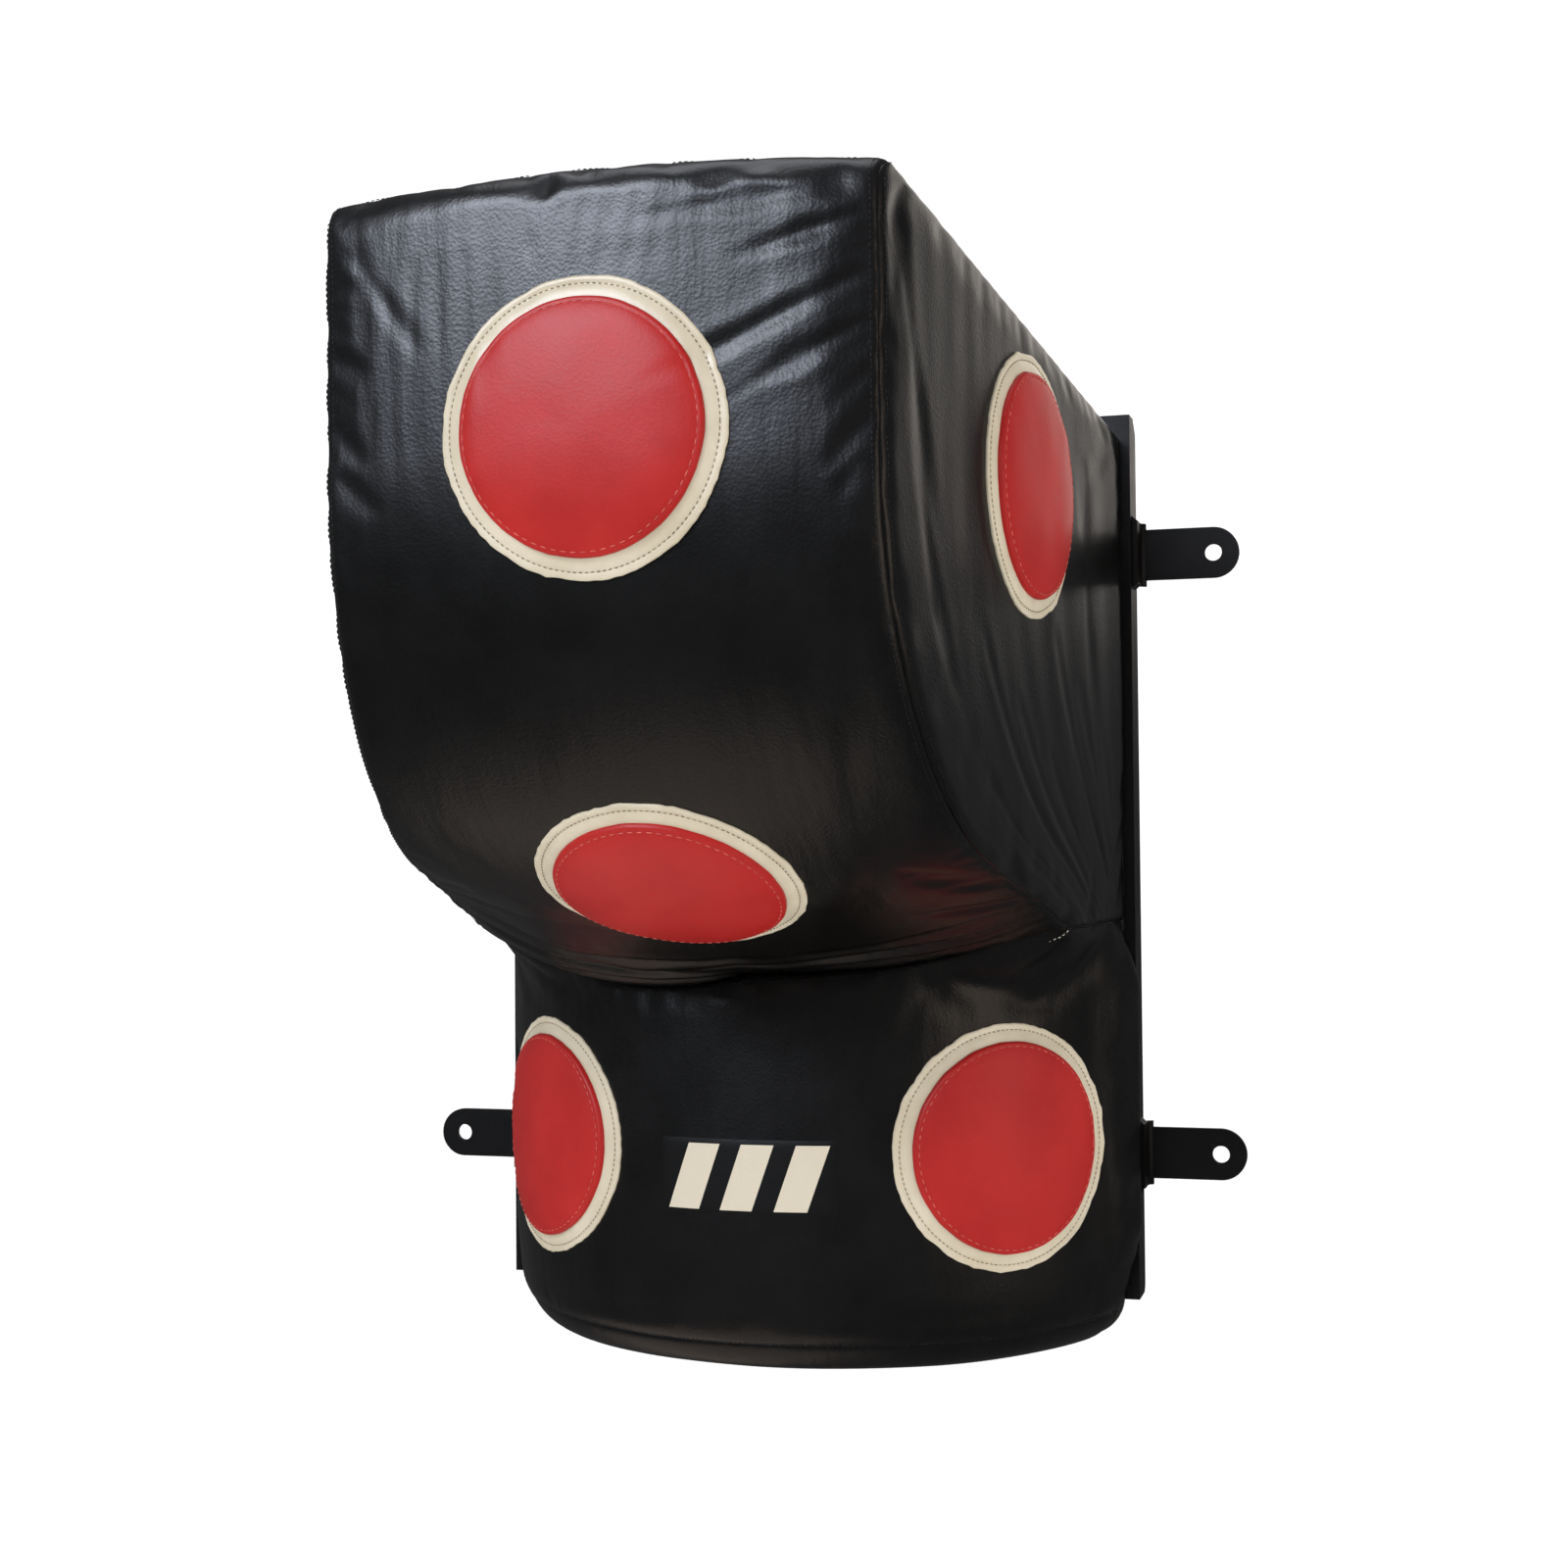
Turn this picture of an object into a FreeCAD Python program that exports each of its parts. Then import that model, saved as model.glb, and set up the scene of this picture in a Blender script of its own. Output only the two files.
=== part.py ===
import FreeCAD, Part
import math
import os

from FreeCAD import Vector

# Wall-mounted uppercut bag. Millimetres, +Z up, the wall is the plane Y = 0 and the boxer stands at -Y.
# The origin is the centre of the four wall holes, in the wall plane.
# A steel frame with four ears carries a plywood board. The board carries a foam bag in a stitched cover:
# an overhanging upper block for hooks, jabs and uppercuts, and a half-round lower block for body shots.

# Wall ears, bent from flat bar
HOLE_SPACING_X = 720.0
HOLE_SPACING_Z = 530.0
WALL_HOLE_D = 15.0
EAR_BAR_WIDTH = 45.0
EAR_BAR_THICKNESS = 5.0
EAR_BEND_RADIUS = 5.0
EAR_ROOT_HEIGHT = 56.0
EAR_ROOT_REACH = 9.0
EAR_SIDE_LEG = 32.0
WELD_LEG = 4.0

# Frame, angle iron uprights and flat rails
FRAME_MARGIN = 8.0
FRAME_TOP = 385.0
FRAME_BOTTOM = -388.0
ANGLE_FRONT_LEG = 50.0
ANGLE_DEPTH = 40.0
ANGLE_THICKNESS = 4.0
ANGLE_TOP_CHAMFER_Y = 16.0
ANGLE_TOP_CHAMFER_Z = 12.0
ANGLE_BOTTOM_RADIUS = 9.0
RAIL_WIDTH = 40.0
RAIL_THICKNESS = 4.0

# Back board and its bolts
BOARD_THICKNESS = 15.0
BOARD_FIT = 14.0
BOARD_INSET_Z = 10.0
BOARD_CORNER_RADIUS = 20.0
BOLT_D = 8.0
BOLT_HEAD_D = 16.0
BOLT_HEAD_DEPTH = 4.5
BOLT_TAIL = 4.0
BOLT_EDGE_DISTANCE = 13.0
BOLT_HEIGHTS = (-330.0, -130.0, 130.0, 330.0)
BOLT_CLEARANCE = 0.5
WASHER_D = 17.0
WASHER_THICKNESS = 1.6
NUT_ACROSS_FLATS = 13.0
NUT_HEIGHT = 6.5

# Cover and filling
COVER_THICKNESS = 2.0
HEM_WIDTH = 45.0
STRIKE_LAYER = 30.0
STRIKE_LAYER_RISE = 25.0
STAPLE_CROWN = 11.0
STAPLE_WIRE = 1.0
STAPLE_LEG = 9.0
STAPLES_PER_SIDE = 8

# Upper block: two seam outlines at the sides and one fuller outline at mid width
FRONT_DEPTH = 590.0
FRONT_HALF_WIDTH = 201.0
BACK_HALF_WIDTH = 284.0
TOP_FRONT_Z = 462.0
TOP_BACK_Z = 366.0
TOP_CORNER_RADIUS = 22.0
FRONT_BULGE = 17.0
TOP_BULGE = 8.0
SEAM_ARC_START_Z = 272.0
SEAM_ARC_RADIUS = 292.0
SEAM_NECK_DEPTH = 190.0
SEAM_NECK_Z = -60.0
MIDDLE_ARC_START_Z = 280.0
MIDDLE_ARC_RADIUS = 345.0
MIDDLE_NECK_Z = -96.0

# Lower block: a segment of a round pillar, flared at its top to the corners of the upper block
LOWER_DEPTH = 240.0
FLARE_CORNER_INSET_X = 4.0
FLARE_CORNER_INSET_Y = 6.0
FLARE_END_Z = -128.0
FLARE_SEAM_X = 214.0
LOWER_RADIUS = 298.0
LOWER_BOTTOM_Z = -423.0
LOWER_EDGE_RADIUS = 38.0
LOWER_SEAM_RISE = 20.0

# Striking targets
TARGET_BASE_D = 204.0
TARGET_PAD_D = 174.0
TARGET_BASE_THICKNESS = 2.0
TARGET_FOAM_THICKNESS = 11.0
TARGET_SKIN = 1.5
FRONT_TARGET_Z = 290.0
BELLY_TARGET_TURN = 60.0
SIDE_TARGET_DEPTH = 300.0
SIDE_TARGET_Z = 284.0
LOWER_TARGET_ANGLE = 41.5
LOWER_TARGET_Z = -241.0

# Blank label on the lower block
LABEL_WIDTH = 150.0
LABEL_HEIGHT = 62.0
LABEL_THICKNESS = 1.0
LABEL_Z = -262.0

# Worked-out sizes
COVER_BACK_Y = -ANGLE_DEPTH
BOARD_BACK_Y = COVER_BACK_Y - COVER_THICKNESS
BOARD_FRONT_Y = BOARD_BACK_Y - BOARD_THICKNESS
FRAME_HALF_WIDTH = BACK_HALF_WIDTH + FRAME_MARGIN
BOARD_HALF_WIDTH = BACK_HALF_WIDTH - COVER_THICKNESS - BOARD_FIT
FLARE = (BACK_HALF_WIDTH - FRONT_HALF_WIDTH) / (FRONT_DEPTH + COVER_BACK_Y)
BOARD_TOP = TOP_BACK_Z - BOARD_INSET_Z
BOARD_BOTTOM = LOWER_BOTTOM_Z + BOARD_INSET_Z
LOWER_CENTRE_Y = LOWER_RADIUS - LOWER_DEPTH
THROUGH = 30.0
FAR = 2000.0


def box(x0, x1, y0, y1, z0, z1):
    """An upright box between two corners."""
    return Part.makeBox(x1 - x0, y1 - y0, z1 - z0, Vector(x0, y0, z0))


def rod(radius, start, direction, length):
    """A round bar from a point, along a direction."""
    return Part.makeCylinder(radius, length, start, direction)


def mirrored(shape):
    """The same shape on the other side of the middle plane."""
    return shape.mirror(Vector(0, 0, 0), Vector(1, 0, 0))


def export(name, shape):
    """Writes one node."""
    if shape.ShapeType != "Solid" and len(shape.Solids) == 1:
        shape = shape.Solids[0]
    shape.exportStep(os.path.join("parts", name + ".step"))


# ---------------------------------------------------------------- upper block

def outline(inset, front_y, top_front, top_back, arc_start, radius, neck_y, neck_z, back_y, drop):
    """The closed outline of the upper block in the plane X = 0, moved inwards by inset.

    It runs from the top of the back, over the rounded front corner, down the front, round the belly arc
    and along a tangent line to the neck. drop carries it on below the neck, to open the shape there.
    """
    front = front_y + inset
    arc = radius - inset
    centre_y = front_y + radius
    to_neck_y = neck_y - centre_y
    to_neck_z = neck_z - arc_start
    distance = math.hypot(to_neck_y, to_neck_z)
    turn = math.atan2(to_neck_z, to_neck_y) + math.acos(-radius / distance)
    tangent = Vector(0, centre_y - arc * math.cos(turn), arc_start - arc * math.sin(turn))
    half = Vector(0, centre_y - arc * math.cos(turn / 2), arc_start - arc * math.sin(turn / 2))
    neck = Vector(0, neck_y + inset / math.cos(turn), neck_z)
    slope = (top_front - top_back) / (COVER_BACK_Y - front_y)
    corner = TOP_CORNER_RADIUS - inset

    def top(y):
        return top_front - inset - slope * (y - front_y)

    # the corner arc is tangent to the front and to the sloping top
    lean = math.atan(slope)
    reach = corner * math.tan((math.pi / 2 - lean) / 2)
    corner_z = top(front)
    down = Vector(0, front, corner_z - reach)
    along = Vector(0, front + reach * math.cos(lean), corner_z - reach * math.sin(lean))
    middle_angle = (math.pi / 2 + lean) / 2
    bend_centre = Vector(0, front + corner, corner_z - reach)
    middle = bend_centre + Vector(0, -corner * math.cos(middle_angle), corner * math.sin(middle_angle))
    bottom_z = neck_z - drop
    points = [neck, Vector(0, neck.y, bottom_z)] if drop else [neck]
    edges = [
        Part.makeLine(Vector(0, back_y, top(back_y)), along),
        Part.Arc(along, middle, down).toShape(),
        Part.makeLine(down, Vector(0, front, arc_start)),
        Part.Arc(Vector(0, front, arc_start), half, tangent).toShape(),
        Part.makeLine(tangent, neck),
    ]
    last = points[-1]
    if drop:
        edges.append(Part.makeLine(neck, last))
    edges.append(Part.makeLine(last, Vector(0, back_y, bottom_z)))
    edges.append(Part.makeLine(Vector(0, back_y, bottom_z), Vector(0, back_y, top(back_y))))
    return Part.Wire(edges)


def leaned(wire, half_at_front, side):
    """The outline carried out to the flared side plane, on side +1 or -1."""
    matrix = FreeCAD.Matrix()
    matrix.A12 = side * FLARE
    matrix.A14 = side * (half_at_front + FLARE * FRONT_DEPTH)
    return wire.transformGeometry(matrix)


def upper_block(inset, back_y=COVER_BACK_Y, drop=0.0, widen=0.0):
    """The upper block, made smaller on every free face by inset. drop opens the neck, widen adds width."""
    seam = outline(inset, -FRONT_DEPTH, TOP_FRONT_Z, TOP_BACK_Z, SEAM_ARC_START_Z, SEAM_ARC_RADIUS,
                   -SEAM_NECK_DEPTH, SEAM_NECK_Z, back_y, drop)
    middle = outline(inset, -FRONT_DEPTH - FRONT_BULGE, TOP_FRONT_Z + TOP_BULGE, TOP_BACK_Z + TOP_BULGE,
                     MIDDLE_ARC_START_Z, MIDDLE_ARC_RADIUS, -LOWER_DEPTH, MIDDLE_NECK_Z, back_y, drop)
    half = FRONT_HALF_WIDTH - inset * math.hypot(1, FLARE) + widen
    wires = [leaned(seam, half, -1), middle, leaned(seam, half, 1)]
    return Part.makeLoft(wires, True, False)


# ---------------------------------------------------------------- lower block

def round_half_width(radius, y):
    """Half the width of the round pillar at a depth."""
    return math.sqrt(radius ** 2 - (LOWER_CENTRE_Y - y) ** 2)


def round_plan(radius, back_y, z):
    """The round segment in three arcs that meet at the flare's corners, with a straight back."""
    half = round_half_width(radius, back_y)
    corner_y = LOWER_CENTRE_Y - math.sqrt(radius ** 2 - FLARE_SEAM_X ** 2)
    between_y = (corner_y + back_y) / 2
    between_x = round_half_width(radius, between_y)
    return plan_wire(half, back_y, between_x, between_y, FLARE_SEAM_X, corner_y,
                     LOWER_CENTRE_Y - radius, z)


def neck_plan(inset, back_y, z):
    """The outline under the upper block: almost straight sides, square corners and a bowed front."""
    corner_y = -SEAM_NECK_DEPTH + FLARE_CORNER_INSET_Y + inset
    corner_x = FRONT_HALF_WIDTH + FLARE * (FRONT_DEPTH + corner_y) - FLARE_CORNER_INSET_X - inset
    half = round_half_width(LOWER_RADIUS - inset, back_y)
    between_y = (corner_y + back_y) / 2
    between_x = (corner_x + half) / 2 + 1.0
    return plan_wire(half, back_y, between_x, between_y, corner_x, corner_y, -LOWER_DEPTH + inset, z)


def plan_wire(half, back_y, between_x, between_y, corner_x, corner_y, front_y, z):
    """Arc, arc and arc from wall to wall, closed by the back."""
    right = Part.Arc(Vector(half, back_y, z), Vector(between_x, between_y, z), Vector(corner_x, corner_y, z))
    front = Part.Arc(Vector(corner_x, corner_y, z), Vector(0, front_y, z), Vector(-corner_x, corner_y, z))
    left = Part.Arc(Vector(-corner_x, corner_y, z), Vector(-between_x, between_y, z),
                    Vector(-half, back_y, z))
    back = Part.makeLine(Vector(-half, back_y, z), Vector(half, back_y, z))
    return Part.Wire([right.toShape(), front.toShape(), left.toShape(), back])


def lower_block(inset, back_y=COVER_BACK_Y, top_z=SEAM_NECK_Z + THROUGH):
    """The half-round lower block, smaller by inset on its round wall and its bottom."""
    radius = LOWER_RADIUS - inset
    half = round_half_width(radius, back_y)
    bottom = LOWER_BOTTOM_Z + inset
    left = Vector(-half, back_y, bottom)
    right = Vector(half, back_y, bottom)
    front = Vector(0, LOWER_CENTRE_Y - radius, bottom)
    face = Part.Face(Part.Wire([Part.Arc(left, front, right).toShape(), Part.makeLine(right, left)]))
    block = face.extrude(Vector(0, 0, FLARE_END_Z - bottom))
    rim = [e for e in block.Edges
           if abs(e.BoundBox.ZMax - bottom) < 0.01 and isinstance(e.Curve, Part.Circle)]
    block = block.makeFillet(LOWER_EDGE_RADIUS - inset, rim)
    neck = neck_plan(inset, back_y, SEAM_NECK_Z)
    flare = Part.makeLoft([round_plan(radius, back_y, FLARE_END_Z), neck], True, True)
    collar = Part.Face(neck).extrude(Vector(0, 0, top_z - SEAM_NECK_Z))
    return block.fuse([flare, collar])


# ---------------------------------------------------------------- frame

def upright():
    """The right-hand angle iron: a front leg on the board and a side leg back to the wall."""
    x = FRAME_HALF_WIDTH
    front = box(x - ANGLE_FRONT_LEG, x, -ANGLE_DEPTH, -ANGLE_DEPTH + ANGLE_THICKNESS, FRAME_BOTTOM, FRAME_TOP)
    outline_points = [
        Vector(x - ANGLE_THICKNESS, -ANGLE_DEPTH, FRAME_BOTTOM),
        Vector(x - ANGLE_THICKNESS, -ANGLE_BOTTOM_RADIUS, FRAME_BOTTOM),
        Vector(x - ANGLE_THICKNESS, 0, FRAME_BOTTOM + ANGLE_BOTTOM_RADIUS),
        Vector(x - ANGLE_THICKNESS, 0, FRAME_TOP - ANGLE_TOP_CHAMFER_Z),
        Vector(x - ANGLE_THICKNESS, -ANGLE_TOP_CHAMFER_Y, FRAME_TOP),
        Vector(x - ANGLE_THICKNESS, -ANGLE_DEPTH, FRAME_TOP),
    ]
    round_middle = Vector(x - ANGLE_THICKNESS, -ANGLE_BOTTOM_RADIUS * (1 - math.sin(math.pi / 4)),
                          FRAME_BOTTOM + ANGLE_BOTTOM_RADIUS * (1 - math.cos(math.pi / 4)))
    edges = []
    for index, start in enumerate(outline_points):
        end = outline_points[(index + 1) % len(outline_points)]
        if index == 1:
            edges.append(Part.Arc(start, round_middle, end).toShape())
        else:
            edges.append(Part.makeLine(start, end))
    side = Part.Face(Part.Wire(edges)).extrude(Vector(ANGLE_THICKNESS, 0, 0))
    angle = front.fuse(side).removeSplitter()
    for z in BOLT_HEIGHTS:
        angle = angle.cut(bolt_hole(z))
    return angle


def rail(z):
    """A flat rail across the back of the front legs, between the side legs."""
    half = FRAME_HALF_WIDTH - ANGLE_THICKNESS
    y = -ANGLE_DEPTH + ANGLE_THICKNESS
    return box(-half, half, y, y + RAIL_THICKNESS, z - RAIL_WIDTH / 2, z + RAIL_WIDTH / 2)


def ear(z):
    """The right-hand wall ear: a strip welded to the side leg, bent out flat on the wall, with its hole."""
    t = EAR_BAR_THICKNESS
    inner = EAR_BEND_RADIUS
    outer = EAR_BEND_RADIUS + t
    x = FRAME_HALF_WIDTH
    tip = HOLE_SPACING_X / 2
    c = Vector(x + outer, -outer, 0)
    towards = Vector(-math.sqrt(0.5), math.sqrt(0.5), 0)
    points = {
        "leg_in": Vector(x, -EAR_SIDE_LEG, 0),
        "leg_out": Vector(x + t, -EAR_SIDE_LEG, 0),
        "bend_out": Vector(x + t, -outer, 0),
        "ear_front": Vector(x + outer, -t, 0),
        "end_front": Vector(tip + EAR_BAR_WIDTH, -t, 0),
        "end_back": Vector(tip + EAR_BAR_WIDTH, 0, 0),
        "ear_back": Vector(x + outer, 0, 0),
        "bend_in": Vector(x, -outer, 0),
    }
    edges = [
        Part.makeLine(points["leg_in"], points["leg_out"]),
        Part.makeLine(points["leg_out"], points["bend_out"]),
        Part.Arc(points["bend_out"], c + towards * inner, points["ear_front"]).toShape(),
        Part.makeLine(points["ear_front"], points["end_front"]),
        Part.makeLine(points["end_front"], points["end_back"]),
        Part.makeLine(points["end_back"], points["ear_back"]),
        Part.Arc(points["ear_back"], c + towards * outer, points["bend_in"]).toShape(),
        Part.makeLine(points["bend_in"], points["leg_in"]),
    ]
    strip = Part.Face(Part.Wire(edges)).extrude(Vector(0, 0, EAR_ROOT_HEIGHT))
    strip.translate(Vector(0, 0, z - EAR_ROOT_HEIGHT / 2))
    half = EAR_BAR_WIDTH / 2
    root_half = EAR_ROOT_HEIGHT / 2
    root = box(x - 1, x + EAR_ROOT_REACH, -ANGLE_DEPTH - 1, 1, z - root_half, z + root_half)
    arm = box(x - 1, tip, -ANGLE_DEPTH - 1, 1, z - half, z + half)
    end = rod(half, Vector(tip, -ANGLE_DEPTH - 1, z), Vector(0, 1, 0), ANGLE_DEPTH + 2)
    hole = rod(WALL_HOLE_D / 2, Vector(tip, -THROUGH, z), Vector(0, 1, 0), 2 * THROUGH)
    return strip.common(root.fuse(arm).fuse(end)).cut(hole).removeSplitter()


def ear_welds(z):
    """The two fillet welds above and below the root of one ear, on the side leg."""
    x = FRAME_HALF_WIDTH
    beads = []
    for sign in (-1, 1):
        edge = z + sign * EAR_ROOT_HEIGHT / 2
        corner = [Vector(x, -EAR_SIDE_LEG, edge), Vector(x + WELD_LEG, -EAR_SIDE_LEG, edge),
                  Vector(x, -EAR_SIDE_LEG, edge + sign * WELD_LEG)]
        face = Part.Face(Part.makePolygon(corner + corner[:1]))
        beads.append(face.extrude(Vector(0, EAR_SIDE_LEG - EAR_BEND_RADIUS - EAR_BAR_THICKNESS, 0)))
    return beads


# ---------------------------------------------------------------- board and fasteners

def bolt_places():
    """Where the board bolts stand: near both edges, at each height."""
    x = BOARD_HALF_WIDTH - BOLT_EDGE_DISTANCE
    return [(side * x, z) for side in (-1, 1) for z in BOLT_HEIGHTS]


def bolt_hole(z):
    """The clearance hole of a right-hand bolt, through everything."""
    x = BOARD_HALF_WIDTH - BOLT_EDGE_DISTANCE
    return rod(BOLT_D / 2 + BOLT_CLEARANCE, Vector(x, -THROUGH * 3, z), Vector(0, 1, 0), THROUGH * 3)


def bolt(x, z, grow=0.0):
    """A countersunk bolt, flush with the board's front, its tail past the nut."""
    length = BOARD_THICKNESS + COVER_THICKNESS + ANGLE_THICKNESS + WASHER_THICKNESS + NUT_HEIGHT + BOLT_TAIL
    head = Part.makeCone(BOLT_HEAD_D / 2 + grow, BOLT_D / 2 + grow, BOLT_HEAD_DEPTH,
                         Vector(x, BOARD_FRONT_Y, z), Vector(0, 1, 0))
    shank = rod(BOLT_D / 2 + grow, Vector(x, BOARD_FRONT_Y, z), Vector(0, 1, 0), length)
    return head.fuse(shank).removeSplitter()


def washer(x, z):
    """A plain washer on the back of the angle iron."""
    start = Vector(x, -ANGLE_DEPTH + ANGLE_THICKNESS, z)
    disc = rod(WASHER_D / 2, start, Vector(0, 1, 0), WASHER_THICKNESS)
    return disc.cut(rod(BOLT_D / 2 + BOLT_CLEARANCE, start, Vector(0, 1, 0), WASHER_THICKNESS))


def nut(x, z):
    """A hexagon nut on the washer, its bore just over the thread."""
    y = -ANGLE_DEPTH + ANGLE_THICKNESS + WASHER_THICKNESS
    corner = NUT_ACROSS_FLATS / 2 / math.cos(math.pi / 6)
    ring = [Vector(x + corner * math.cos(k * math.pi / 3), y, z + corner * math.sin(k * math.pi / 3))
            for k in range(7)]
    block = Part.Face(Part.makePolygon(ring)).extrude(Vector(0, NUT_HEIGHT, 0))
    return block.cut(rod(BOLT_D / 2 + 0.05, Vector(x, y, z), Vector(0, 1, 0), NUT_HEIGHT))


def board():
    """The plywood back board with round corners and countersunk holes."""
    plate = box(-BOARD_HALF_WIDTH, BOARD_HALF_WIDTH, BOARD_FRONT_Y, BOARD_BACK_Y, BOARD_BOTTOM, BOARD_TOP)
    corners = [e for e in plate.Edges if abs(e.BoundBox.YLength - BOARD_THICKNESS) < 0.01]
    plate = plate.makeFillet(BOARD_CORNER_RADIUS, corners)
    for x, z in bolt_places():
        plate = plate.cut(bolt(x, z, BOLT_CLEARANCE))
    return plate


def staple_places():
    """Centre, and direction of the crown, of each staple in the hem."""
    inner = HEM_WIDTH / 2
    places = []
    for index in range(STAPLES_PER_SIDE):
        share = (index + 0.5) / STAPLES_PER_SIDE
        x = (2 * share - 1) * (BOARD_HALF_WIDTH - 2 * BOLT_EDGE_DISTANCE - STAPLE_CROWN)
        places.append((x, BOARD_TOP - inner))
        places.append((x, BOARD_BOTTOM + inner))
    return places


def staple(x, z, grow=0.0):
    """A staple driven from behind: the crown on the hem, two legs in the board."""
    half = STAPLE_CROWN / 2
    wire = STAPLE_WIRE / 2 + grow
    crown = box(x - half, x + half, COVER_BACK_Y, COVER_BACK_Y + STAPLE_WIRE, z - wire, z + wire)
    pieces = [crown]
    for side in (-1, 1):
        leg_x = x + side * (half - STAPLE_WIRE / 2)
        pieces.append(box(leg_x - wire, leg_x + wire, COVER_BACK_Y - STAPLE_LEG, COVER_BACK_Y,
                          z - wire, z + wire))
    return pieces[0].fuse(pieces[1:]).removeSplitter()


# ---------------------------------------------------------------- targets

def target(block, centre, normal):
    """Base disc, foam puck and skin of a target on a curved block. block(inset) gives the block's solid."""
    start = centre - normal * THROUGH
    reach = 2 * THROUGH + TARGET_FOAM_THICKNESS
    base_top = block(-TARGET_BASE_THICKNESS)
    foam_top = block(-TARGET_BASE_THICKNESS - TARGET_FOAM_THICKNESS)
    skin_top = block(-TARGET_BASE_THICKNESS - TARGET_FOAM_THICKNESS - TARGET_SKIN)
    base = rod(TARGET_BASE_D / 2, start, normal, reach).common(base_top).cut(block(0.0))
    foam = rod(TARGET_PAD_D / 2 - TARGET_SKIN, start, normal, reach).common(foam_top).cut(base_top)
    skin = rod(TARGET_PAD_D / 2, start, normal, reach).common(skin_top).cut(base_top).cut(foam)
    return {"base": base, "foam": foam, "skin": skin}


def flat_target(centre, normal):
    """The same three pieces on a flat side panel."""
    base = rod(TARGET_BASE_D / 2, centre, normal, TARGET_BASE_THICKNESS)
    floor = centre + normal * TARGET_BASE_THICKNESS
    foam = rod(TARGET_PAD_D / 2 - TARGET_SKIN, floor, normal, TARGET_FOAM_THICKNESS)
    skin = rod(TARGET_PAD_D / 2, floor, normal, TARGET_FOAM_THICKNESS + TARGET_SKIN).cut(foam)
    return {"base": base, "foam": foam, "skin": skin}


def build_targets():
    """All six targets, as name to pieces."""
    front = Vector(0, -FRONT_DEPTH - FRONT_BULGE, FRONT_TARGET_Z)
    turn = math.radians(BELLY_TARGET_TURN)
    belly_normal = Vector(0, -math.cos(turn), -math.sin(turn))
    arc_centre = Vector(0, -FRONT_DEPTH - FRONT_BULGE + MIDDLE_ARC_RADIUS, MIDDLE_ARC_START_Z)
    belly = arc_centre + belly_normal * MIDDLE_ARC_RADIUS
    side_x = FRONT_HALF_WIDTH + FLARE * (FRONT_DEPTH - SIDE_TARGET_DEPTH)
    side_normal = Vector(1, -FLARE, 0).normalize()
    phi = math.radians(LOWER_TARGET_ANGLE)
    round_normal = Vector(math.sin(phi), -math.cos(phi), 0)
    lower = Vector(0, LOWER_CENTRE_Y, LOWER_TARGET_Z) + round_normal * LOWER_RADIUS
    side = flat_target(Vector(side_x, -SIDE_TARGET_DEPTH, SIDE_TARGET_Z), side_normal)
    round_one = target(lower_block, lower, round_normal)
    return {
        "front_target": target(upper_block, front, Vector(0, -1, 0)),
        "belly_target": target(upper_block, belly, belly_normal),
        "side_target_right": side,
        "side_target_left": {k: mirrored(v) for k, v in side.items()},
        "lower_target_right": round_one,
        "lower_target_left": {k: mirrored(v) for k, v in round_one.items()},
    }


# ---------------------------------------------------------------- cover and filling

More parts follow.
